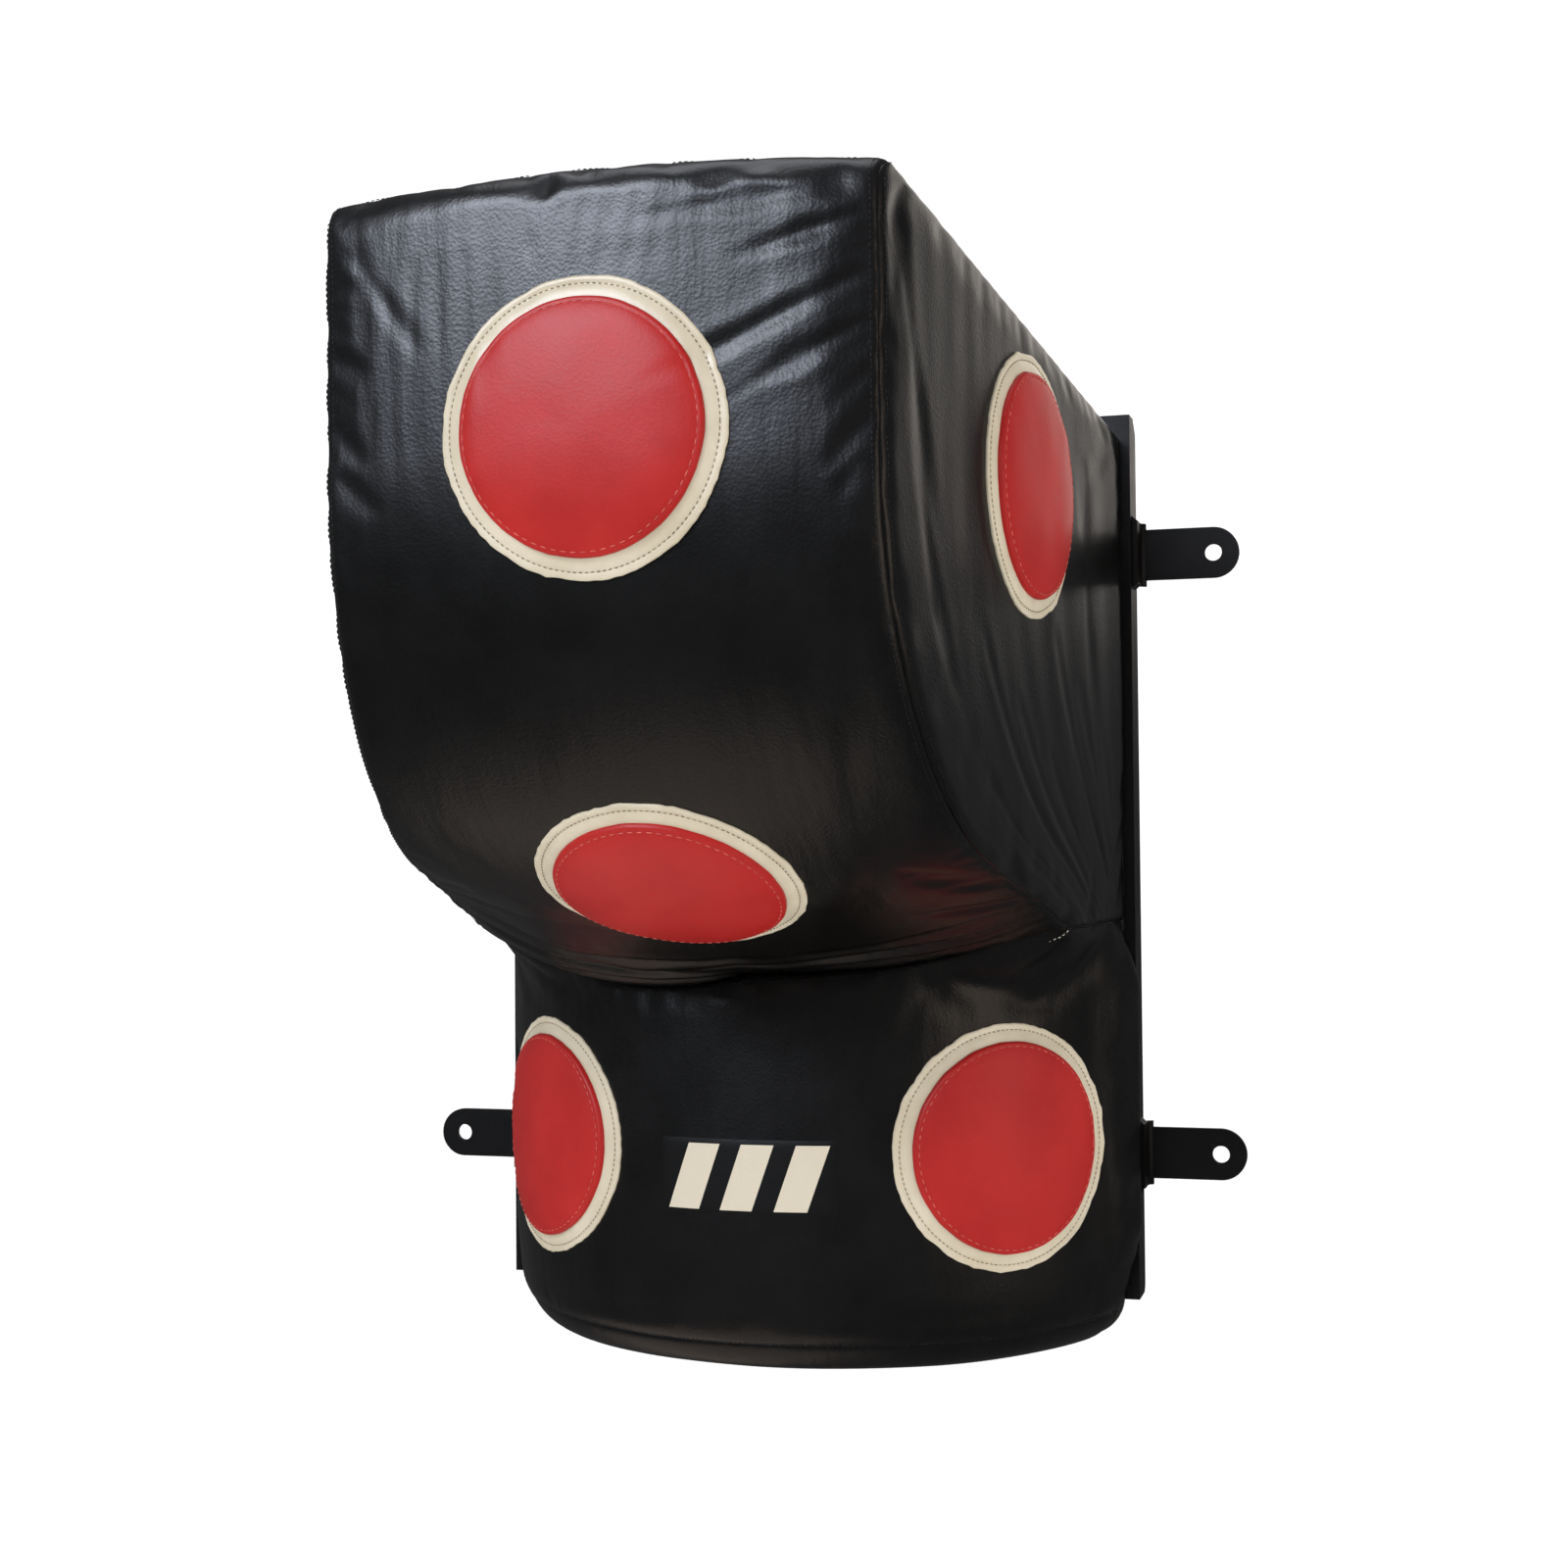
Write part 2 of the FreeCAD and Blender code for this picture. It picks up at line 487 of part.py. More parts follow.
def build_bag():
    """The cover's panels, the striking layers and the cores, as name to solid."""
    upper_outer = upper_block(0.0)
    upper_inner = upper_block(COVER_THICKNESS, THROUGH, THROUGH)
    upper_shell = upper_outer.cut(upper_inner)
    upper_fill = upper_outer.common(upper_inner)
    ahead_of_board = box(-FAR, FAR, -FAR, BOARD_FRONT_Y, -FAR, FAR)

    # the side panels are what the front and top panels leave, outside the flared planes
    between = upper_block(0.0, THROUGH, THROUGH).BoundBox
    slab_half = FRONT_HALF_WIDTH - COVER_THICKNESS * math.hypot(1, FLARE)
    near = slab_half + FLARE * (FRONT_DEPTH - FAR)
    far = slab_half + FLARE * (FRONT_DEPTH + FAR)
    plan = [Vector(near, -FAR, between.ZMin - 1), Vector(FAR, -FAR, between.ZMin - 1),
            Vector(FAR, FAR, between.ZMin - 1), Vector(far, FAR, between.ZMin - 1)]
    outside = Part.Face(Part.makePolygon(plan + plan[:1])).extrude(Vector(0, 0, between.ZLength + 2))
    side_panel = upper_shell.common(outside)
    strip = upper_shell.cut(outside).cut(mirrored(outside))
    top_zone = box(-FAR, FAR, -FRONT_DEPTH + COVER_THICKNESS, FAR, SEAM_ARC_START_Z, FAR)
    pieces = {
        "cover_front_panel": strip.cut(top_zone),
        "cover_top_panel": strip.common(top_zone),
        "cover_side_panel_right": side_panel,
        "cover_side_panel_left": mirrored(side_panel),
    }

    lower_outer = lower_block(0.0)
    lower_inner = lower_block(COVER_THICKNESS, THROUGH)
    lower_shell = lower_outer.cut(lower_inner).cut(upper_outer)
    seam_z = LOWER_BOTTOM_Z + LOWER_SEAM_RISE
    above = box(-FAR, FAR, -FAR, FAR, seam_z, FAR)
    pieces["cover_lower_wrap"] = lower_shell.common(above)
    pieces["cover_bottom_panel"] = lower_shell.cut(above)

    # striking layers of dense foam under the cover, and softer cores behind them
    upper_core_room = upper_block(COVER_THICKNESS, THROUGH, THROUGH, STRIKE_LAYER)
    upper_core_room.translate(Vector(0, STRIKE_LAYER, STRIKE_LAYER_RISE))
    upper_fill = upper_fill.common(ahead_of_board)
    pieces["upper_strike_foam"] = upper_fill.cut(upper_core_room)
    pieces["upper_core"] = upper_fill.common(upper_core_room)
    lower_fill = lower_outer.common(lower_inner).cut(upper_outer).common(ahead_of_board)
    lower_core_room = rod(LOWER_RADIUS - COVER_THICKNESS - STRIKE_LAYER,
                          Vector(0, LOWER_CENTRE_Y, -FAR), Vector(0, 0, 1), 2 * FAR)
    pieces["lower_strike_foam"] = lower_fill.cut(lower_core_room)
    pieces["lower_core"] = lower_fill.common(lower_core_room)

    # the hem of the cover, turned in behind the board
    slab = box(-FAR, FAR, BOARD_BACK_Y, COVER_BACK_Y, -FAR, FAR)
    window = box(-BOARD_HALF_WIDTH + HEM_WIDTH, BOARD_HALF_WIDTH - HEM_WIDTH, -FAR, FAR,
                 BOARD_BOTTOM + HEM_WIDTH, BOARD_TOP - HEM_WIDTH)
    inner = upper_inner.fuse(lower_inner.cut(upper_outer))
    hem = slab.common(inner).common(upper_outer.fuse(lower_outer)).cut(window).cut(lower_shell)
    for x, z in bolt_places():
        hem = hem.cut(rod(BOLT_D / 2 + BOLT_CLEARANCE, Vector(x, -FAR, z), Vector(0, 1, 0), 2 * FAR))
    pieces["cover_hem"] = hem
    return pieces


def main():
    """Builds every node and writes it."""
    os.makedirs("parts", exist_ok=True)
    nodes = {}
    angle = upright()
    nodes["upright_right"] = angle
    nodes["upright_left"] = mirrored(angle)
    ear_z = HOLE_SPACING_Z / 2
    for name, z in (("rail_top", ear_z), ("rail_middle", 0.0), ("rail_bottom", -ear_z)):
        nodes[name] = rail(z)
    beads = []
    for name, z in (("top", ear_z), ("bottom", -ear_z)):
        bracket = ear(z)
        nodes["wall_ear_" + name + "_right"] = bracket
        nodes["wall_ear_" + name + "_left"] = mirrored(bracket)
        for bead in ear_welds(z):
            beads += [bead, mirrored(bead)]
    nodes["ear_welds"] = Part.makeCompound(beads)
    nodes.update(build_bag())

    plate = board()
    hem = nodes["cover_hem"]
    staples = []
    for x, z in staple_places():
        staples.append(staple(x, z))
        room = staple(x, z, 0.1)
        plate = plate.cut(room)
        hem = hem.cut(room)
    nodes["back_board"] = plate
    nodes["cover_hem"] = hem
    nodes["hem_staples"] = Part.makeCompound(staples)
    nodes["board_bolts"] = Part.makeCompound([bolt(x, z) for x, z in bolt_places()])
    nodes["board_washers"] = Part.makeCompound([washer(x, z) for x, z in bolt_places()])
    nodes["board_nuts"] = Part.makeCompound([nut(x, z) for x, z in bolt_places()])
    patch = box(-LABEL_WIDTH / 2, LABEL_WIDTH / 2, -FAR, BOARD_FRONT_Y,
                LABEL_Z - LABEL_HEIGHT / 2, LABEL_Z + LABEL_HEIGHT / 2)
    nodes["label_patch"] = patch.common(lower_block(-LABEL_THICKNESS)).cut(lower_block(0.0))
    for name, pieces in build_targets().items():
        for piece, shape in pieces.items():
            nodes[name + "_" + piece] = shape
    for name, shape in nodes.items():
        export(name, shape)


main()
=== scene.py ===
"""Looks of a wall-mounted uppercut bag: stitched black cover, padded red targets, painted steel frame."""

import logging
import math
from dataclasses import dataclass, field
from enum import Enum
from typing import Callable

import bmesh
import bpy
from mathutils import Matrix, Vector, noise
from mathutils.bvhtree import BVHTree


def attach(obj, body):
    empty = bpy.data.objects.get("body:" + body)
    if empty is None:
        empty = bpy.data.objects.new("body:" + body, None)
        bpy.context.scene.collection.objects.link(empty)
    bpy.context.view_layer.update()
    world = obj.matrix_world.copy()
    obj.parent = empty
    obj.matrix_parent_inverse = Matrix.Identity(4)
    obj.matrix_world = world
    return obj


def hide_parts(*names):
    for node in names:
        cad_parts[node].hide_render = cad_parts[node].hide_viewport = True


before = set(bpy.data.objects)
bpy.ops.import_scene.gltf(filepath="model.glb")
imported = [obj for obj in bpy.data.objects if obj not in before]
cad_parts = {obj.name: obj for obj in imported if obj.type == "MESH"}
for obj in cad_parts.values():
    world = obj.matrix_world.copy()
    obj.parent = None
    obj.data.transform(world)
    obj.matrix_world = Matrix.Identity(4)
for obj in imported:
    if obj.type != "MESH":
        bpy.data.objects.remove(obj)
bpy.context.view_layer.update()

LOG = logging.getLogger("uppercut_bag")
MM = 0.001
LABEL_Z = -262 * MM
Place = Callable[[float, float], Vector]


class Side(Enum):
    """Which half of the bag a piece belongs to."""

    LEFT = -1
    RIGHT = 1


# ---------------------------------------------------------------- finishes


def linear(code: str) -> tuple[float, float, float, float]:
    """Turns an sRGB hex colour to linear light.

    Args:
        code: six hex digits with a leading hash.

    Returns:
        Red, green, blue and an alpha of 1.
    """
    parts = [int(code[i : i + 2], 16) / 255 for i in (1, 3, 5)]
    light = [c / 12.92 if c <= 0.04045 else ((c + 0.055) / 1.055) ** 2.4 for c in parts]
    return (light[0], light[1], light[2], 1.0)


def put(tree: bpy.types.NodeTree, kind: str, settings: dict | None = None,
        links: dict | None = None) -> bpy.types.Node:
    """Adds one shader node.

    Args:
        tree: the node tree.
        kind: the node's type without its ShaderNode prefix.
        settings: attribute name, input name or input number to value; "stops" are a colour ramp's
            places and colours.
        links: input name or number to the socket that feeds it.

    Returns:
        The new node.
    """
    node = tree.nodes.new("ShaderNode" + kind)
    for key, value in (settings or {}).items():
        if key == "stops":
            while len(node.color_ramp.elements) < len(value):
                node.color_ramp.elements.new(0.5)
            for element, (share, code) in zip(node.color_ramp.elements, value):
                element.position = share
                element.color = linear(code)
        elif isinstance(key, str) and hasattr(node, key):
            setattr(node, key, value)
        else:
            node.inputs[key].default_value = value
    for key, socket in (links or {}).items():
        tree.links.new(socket, node.inputs[key])
    return node


def new_material(name: str) -> tuple[bpy.types.Material, bpy.types.NodeTree]:
    """Makes an empty node material.

    Args:
        name: the material's name.

    Returns:
        The material and its node tree.
    """
    material = bpy.data.materials.new(name)
    material.use_nodes = True
    material.node_tree.nodes.clear()
    return material, material.node_tree


@dataclass(frozen=True)
class CoatedFabric:
    """Artificial leather: a polyurethane skin with an embossed grain. It gives a broad, soft highlight."""

    name: str
    dark: str
    light: str
    roughness: float
    grain: float = 2.4 * MM
    grain_depth: float = 0.16 * MM
    slack: float = 34.0 * MM
    slack_depth: float = 0.9 * MM
    pull: tuple[float, float, float] = (1.0, 1.0, 0.35)
    shine: float = 0.5

    def build(self) -> bpy.types.Material:
        """Makes the material: mottled colour, uneven gloss, embossed grain and loose lumps.

        Returns:
            The material.
        """
        material, tree = new_material(self.name)
        place = put(tree, "TexCoord").outputs["Object"]
        mottle = put(tree, "TexNoise", {"Scale": 1 / (60 * MM), "Detail": 4.0, "Roughness": 0.6},
                     {"Vector": place})
        cells = put(tree, "TexVoronoi", {"feature": "SMOOTH_F1", "Scale": 1 / self.grain, "Smoothness": 0.6},
                    {"Vector": place})
        pores = put(tree, "TexNoise", {"Scale": 1 / (self.grain * 0.6), "Detail": 2.0}, {"Vector": place})
        stretched = put(tree, "Mapping", {"Scale": self.pull}, {"Vector": place})
        lumps = put(tree, "TexNoise", {"Scale": 1 / self.slack, "Detail": 2.0, "Roughness": 0.4},
                    {"Vector": stretched.outputs["Vector"]})
        colour = put(tree, "ValToRGB", {"stops": [(0.32, self.dark), (0.7, self.light)]},
                     {"Fac": mottle.outputs["Fac"]}).outputs["Color"]
        gloss = put(tree, "MapRange", {"To Min": self.roughness - 0.05, "To Max": self.roughness + 0.09},
                    {"Value": mottle.outputs["Fac"]})
        low = put(tree, "Bump", {"Strength": 0.7, "Distance": self.slack_depth},
                  {"Height": lumps.outputs["Fac"]})
        middle = put(tree, "Bump", {"Strength": 0.8, "Distance": self.grain_depth},
                     {"Height": cells.outputs["Distance"], "Normal": low.outputs["Normal"]})
        fine = put(tree, "Bump", {"Strength": 0.5, "Distance": self.grain_depth * 0.4},
                   {"Height": pores.outputs["Fac"], "Normal": middle.outputs["Normal"]})
        skin = put(tree, "BsdfPrincipled", {"IOR": 1.5, "Specular IOR Level": self.shine},
                   {"Base Color": colour, "Roughness": gloss.outputs["Result"],
                    "Normal": fine.outputs["Normal"]})
        put(tree, "OutputMaterial", None, {"Surface": skin.outputs["BSDF"]})
        return material


@dataclass(frozen=True)
class Thread:
    """Bonded polyester thread, twisted. It gives a dull, slightly broken line."""

    name: str
    colour: str
    shade: str

    def build(self) -> bpy.types.Material:
        """Makes the material with a twist across the thread and a dusty colour change.

        Returns:
            The material.
        """
        material, tree = new_material(self.name)
        place = put(tree, "TexCoord").outputs["Object"]
        dust = put(tree, "TexNoise", {"Scale": 1 / (9 * MM), "Detail": 3.0}, {"Vector": place})
        twist = put(tree, "TexWave", {"Scale": 1 / (1.2 * MM), "bands_direction": "DIAGONAL"},
                    {"Vector": place})
        colour = put(tree, "ValToRGB", {"stops": [(0.35, self.shade), (0.65, self.colour)]},
                     {"Fac": dust.outputs["Fac"]}).outputs["Color"]
        bump = put(tree, "Bump", {"Strength": 0.5, "Distance": 0.1 * MM}, {"Height": twist.outputs["Fac"]})
        skin = put(tree, "BsdfPrincipled", {"Roughness": 0.72},
                   {"Base Color": colour, "Normal": bump.outputs["Normal"]})
        put(tree, "OutputMaterial", None, {"Surface": skin.outputs["BSDF"]})
        return material


@dataclass(frozen=True)
class BrushedEnamel:
    """Black enamel brushed over hot-rolled steel. It gives a satin face with fine peel and rubbed spots."""

    name: str
    dark: str
    worn: str
    roughness: float

    def build(self) -> bpy.types.Material:
        """Makes the material: uneven film, fine peel and small greyish rubbed spots.

        Returns:
            The material.
        """
        material, tree = new_material(self.name)
        place = put(tree, "TexCoord").outputs["Object"]
        film = put(tree, "TexNoise", {"Scale": 1 / (30 * MM), "Detail": 5.0, "Roughness": 0.65},
                   {"Vector": place})
        peel = put(tree, "TexNoise", {"Scale": 1 / (2.5 * MM), "Detail": 3.0}, {"Vector": place})
        rubbed = put(tree, "TexNoise", {"Scale": 1 / (7 * MM), "Detail": 6.0, "Roughness": 0.7},
                     {"Vector": place})
        colour = put(tree, "ValToRGB", {"stops": [(0.0, self.dark), (0.62, self.dark), (0.78, self.worn)]},
                     {"Fac": rubbed.outputs["Fac"]}).outputs["Color"]
        gloss = put(tree, "MapRange", {"To Min": self.roughness - 0.08, "To Max": self.roughness + 0.16},
                    {"Value": film.outputs["Fac"]})
        bump = put(tree, "Bump", {"Strength": 0.6, "Distance": 0.12 * MM}, {"Height": peel.outputs["Fac"]})
        skin = put(tree, "BsdfPrincipled", {"IOR": 1.5, "Specular IOR Level": 0.25},
                   {"Base Color": colour, "Roughness": gloss.outputs["Result"],
                    "Normal": bump.outputs["Normal"]})
        put(tree, "OutputMaterial", None, {"Surface": skin.outputs["BSDF"]})
        return material


@dataclass(frozen=True)
class ZincPlate:
    """Zinc-plated steel. It gives a cool grey metal with cloudy gloss."""

    name: str = "zinc_plate"
    dark: str = "#8E9499"
    light: str = "#C3C8CB"

    def build(self) -> bpy.types.Material:
        """Makes the material with clouds in its colour and gloss.

        Returns:
            The material.
        """
        material, tree = new_material(self.name)
        place = put(tree, "TexCoord").outputs["Object"]
        cloud = put(tree, "TexNoise", {"Scale": 1 / (6 * MM), "Detail": 5.0}, {"Vector": place})
        colour = put(tree, "ValToRGB", {"stops": [(0.3, self.dark), (0.7, self.light)]},
                     {"Fac": cloud.outputs["Fac"]}).outputs["Color"]
        gloss = put(tree, "MapRange", {"To Min": 0.25, "To Max": 0.45}, {"Value": cloud.outputs["Fac"]})
        skin = put(tree, "BsdfPrincipled", {"Metallic": 1.0},
                   {"Base Color": colour, "Roughness": gloss.outputs["Result"]})
        put(tree, "OutputMaterial", None, {"Surface": skin.outputs["BSDF"]})
        return material


@dataclass(frozen=True)
class Plywood:
    """Rotary-cut birch plywood, sawn and left raw. It gives long wandering grain and a dull face."""

    name: str = "birch_plywood"
    early: str = "#C9A36E"
    late: str = "#A67C4B"

    def build(self) -> bpy.types.Material:
        """Makes the material: grain along Z, drawn out 12 to 1, with fine fibres.

        Returns:
            The material.
        """
        material, tree = new_material(self.name)
        place = put(tree, "TexCoord").outputs["Object"]
        drawn = put(tree, "Mapping", {"Scale": (1.0, 1.0, 0.08)}, {"Vector": place})
        grain = put(tree, "TexNoise", {"Scale": 1 / (22 * MM), "Detail": 6.0, "Distortion": 1.4},
                    {"Vector": drawn.outputs["Vector"]})
        fibre = put(tree, "TexNoise", {"Scale": 1 / (1.4 * MM), "Detail": 2.0},
                    {"Vector": drawn.outputs["Vector"]})
        bands = [(0.35, self.late), (0.5, self.early), (0.62, self.late), (0.75, self.early)]
        colour = put(tree, "ValToRGB", {"stops": bands}, {"Fac": grain.outputs["Fac"]}).outputs["Color"]
        bump = put(tree, "Bump", {"Strength": 0.4, "Distance": 0.2 * MM}, {"Height": fibre.outputs["Fac"]})
        skin = put(tree, "BsdfPrincipled", {"Roughness": 0.75},
                   {"Base Color": colour, "Normal": bump.outputs["Normal"]})
        put(tree, "OutputMaterial", None, {"Surface": skin.outputs["BSDF"]})
        return material


@dataclass(frozen=True)
class KnitBacking:
    """The knitted backing of the artificial leather. It gives a dull grey-black face with tiny loops."""

    name: str = "knit_backing"
    dark: str = "#232323"
    light: str = "#3A3A39"
    loop: float = 1.6 * MM

    def build(self) -> bpy.types.Material:
        """Makes the material from two crossed waves at the loop spacing.

        Returns:
            The material.
        """
        material, tree = new_material(self.name)
        place = put(tree, "TexCoord").outputs["Object"]
        rows = [
            put(tree, "TexWave", {"Scale": 1 / self.loop / 3.2, "bands_direction": axis, "Distortion": 1.2},
                {"Vector": place}).outputs["Fac"]
            for axis in ("X", "Z")
        ]
        both = put(tree, "Math", {"operation": "MULTIPLY"}, {0: rows[0], 1: rows[1]})
        colour = put(tree, "ValToRGB", {"stops": [(0.1, self.dark), (0.8, self.light)]},
                     {"Fac": both.outputs["Value"]}).outputs["Color"]
        bump = put(tree, "Bump", {"Strength": 0.6, "Distance": 0.25 * MM}, {"Height": both.outputs["Value"]})
        skin = put(tree, "BsdfPrincipled", {"Roughness": 0.9},
                   {"Base Color": colour, "Normal": bump.outputs["Normal"]})
        put(tree, "OutputMaterial", None, {"Surface": skin.outputs["BSDF"]})
        return material


@dataclass(frozen=True)
class PrintedPatch:
    """A vinyl patch with three slanted printed bars, a plain mark with no words."""

    name: str = "printed_patch"
    ground: str = "#090909"
    ink: str = "#CFC6B2"
    bar_pitch: float = 46.0 * MM
    bar_share: float = 0.6
    slant: float = 0.35
    half_height: float = 27.0 * MM
    centre_z: float = LABEL_Z

    def build(self) -> bpy.types.Material:
        """Makes the material from Object coordinates: slanted bars inside a plain margin.

        Returns:
            The material.
        """
        material, tree = new_material(self.name)
        spot = put(tree, "TexCoord").outputs["Object"]
        place = put(tree, "SeparateXYZ", None, {"Vector": spot})
        raised = put(tree, "Math", {"operation": "SUBTRACT", 1: self.centre_z}, {0: place.outputs["Z"]})
        slanted = put(tree, "Math", {"operation": "MULTIPLY_ADD", 1: -self.slant},
                      {0: raised.outputs["Value"], 2: place.outputs["X"]})
        turns = put(tree, "Math", {"operation": "MULTIPLY_ADD", 1: 1 / self.bar_pitch, 2: 0.5},
                    {0: slanted.outputs["Value"]})
        part = put(tree, "Math", {"operation": "FRACT"}, {0: turns.outputs["Value"]})
        middle = put(tree, "Math", {"operation": "SUBTRACT", 1: 0.5}, {0: part.outputs["Value"]})
        mask = None
        limits = ((middle, self.bar_share / 2), (slanted, 1.5 * self.bar_pitch), (raised, self.half_height))
        for node, limit in limits:
            size = put(tree, "Math", {"operation": "ABSOLUTE"}, {0: node.outputs["Value"]})
            within = put(tree, "Math", {"operation": "LESS_THAN", 1: limit}, {0: size.outputs["Value"]})
            if mask:
                within = put(tree, "Math", {"operation": "MULTIPLY"},
                             {0: mask.outputs["Value"], 1: within.outputs["Value"]})
            mask = within
        colour = put(tree, "ValToRGB", {"stops": [(0.4, self.ground), (0.6, self.ink)]},
                     {"Fac": mask.outputs["Value"]}).outputs["Color"]
        cells = put(tree, "TexVoronoi", {"feature": "SMOOTH_F1", "Scale": 1 / (2.4 * MM)},
                    {"Vector": spot})
        bump = put(tree, "Bump", {"Strength": 0.7, "Distance": 0.12 * MM},
                   {"Height": cells.outputs["Distance"]})
        skin = put(tree, "BsdfPrincipled", {"Roughness": 0.4},
                   {"Base Color": colour, "Normal": bump.outputs["Normal"]})
        put(tree, "OutputMaterial", None, {"Surface": skin.outputs["BSDF"]})
        return material


# ---------------------------------------------------------------- mesh helpers


def finish_piece(name: str, shape: bmesh.types.BMesh, material: bpy.types.Material, nodes: tuple[str, ...]) -> bpy.types.Object:
    """Turns a bmesh to a shown piece that stands for CAD nodes.

    Args:
        name: the piece's name.
        shape: the mesh, freed here.
        material: its finish.
        nodes: the CAD nodes it stands for.

    Returns:
        The object, riding on the root body.
    """
    mesh = bpy.data.meshes.new(name)
    shape.to_mesh(mesh)
    shape.free()
    mesh.shade_smooth()
    piece = bpy.data.objects.new(name, mesh)
    bpy.context.scene.collection.objects.link(piece)
    mesh.materials.append(material)
    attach(piece, "root")
    if nodes:
        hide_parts(*nodes)
    LOG.info("%s: %d faces", name, len(mesh.polygons))
    return piece


@dataclass
class Crease:
    """A pull line between two places in shares of the panel, with its depth and width in millimetres."""

    start: tuple[float, float]
    end: tuple[float, float]
    depth: float
    width: float

    def at(self, u: float, v: float, size: tuple[float, float]) -> float:
        """Height of the crease.

        Args:
            u: share across the panel.
            v: share along the panel.
            size: the panel's width and length in metres.

        Returns:
            The height in metres, a valley with a soft ridge on each side.
        """
        a = Vector((self.start[0] * size[0], self.start[1] * size[1]))
        b = Vector((self.end[0] * size[0], self.end[1] * size[1]))
        p = Vector((u * size[0], v * size[1]))
        along = b - a
        share = max(0.0, min(1.0, (p - a).dot(along) / along.length_squared))
        wander = noise.noise(Vector((share * 3.0, self.start[0] * 7, self.depth))) * self.width * 0.8 * MM
        across = (p - a - along * share).length + wander
        rel = across / (self.width * MM)
        fade = math.sin(math.pi * min(1.0, max(0.0, share * 0.86 + 0.12))) ** 0.7
        return self.depth * MM * fade * (rel * rel - 0.8) * math.exp(-rel * rel)


@dataclass
class Puff:
    """How a sewn panel fills out over its foam: cloth held at its seams and pressed from inside."""

    pressure: float = 3.0
    slack: float = 0.012
    cap: float = 5.0 * MM
    steps: int = 14

    def run(self, shape: bmesh.types.BMesh, held: set[int]) -> None:
        """Simulates the panel and writes the new places back.

        Args:
            shape: the panel, an open grid.
            held: numbers of the vertices sewn down.
        """
        mesh = bpy.data.meshes.new("puffing")
        shape.to_mesh(mesh)
        cloth_piece = bpy.data.objects.new("puffing", mesh)
        bpy.context.scene.collection.objects.link(cloth_piece)
        group = cloth_piece.vertex_groups.new(name="sewn")
        group.add(list(held), 1.0, "REPLACE")
        cloth = cloth_piece.modifiers.new("Cloth", "CLOTH")
        s = cloth.settings
        s.quality = 6
        s.mass = 0.25
        s.tension_stiffness = s.compression_stiffness = 18
        s.shear_stiffness = 8
        s.bending_stiffness = 1.2
        s.air_damping = 6
        s.use_pressure = True
        s.uniform_pressure_force = self.pressure
        s.vertex_group_mass = "sewn"
        s.shrink_min = -self.slack
        s.effector_weights.gravity = 0
        cloth.collision_settings.use_collision = False
        cloth.point_cache.frame_start = 1
        cloth.point_cache.frame_end = self.steps
        scene = bpy.context.scene
        for number in range(1, self.steps + 1):
            scene.frame_set(number)
        settled = cloth_piece.evaluated_get(bpy.context.evaluated_depsgraph_get()).to_mesh()
        shape.verts.ensure_lookup_table()
        for vertex, new in zip(shape.verts, settled.vertices):
            move = new.co - vertex.co
            if move.length > self.cap:
                move.length = self.cap
            vertex.co += move
        bpy.data.objects.remove(cloth_piece)
        bpy.data.meshes.remove(mesh)
        scene.frame_set(1)


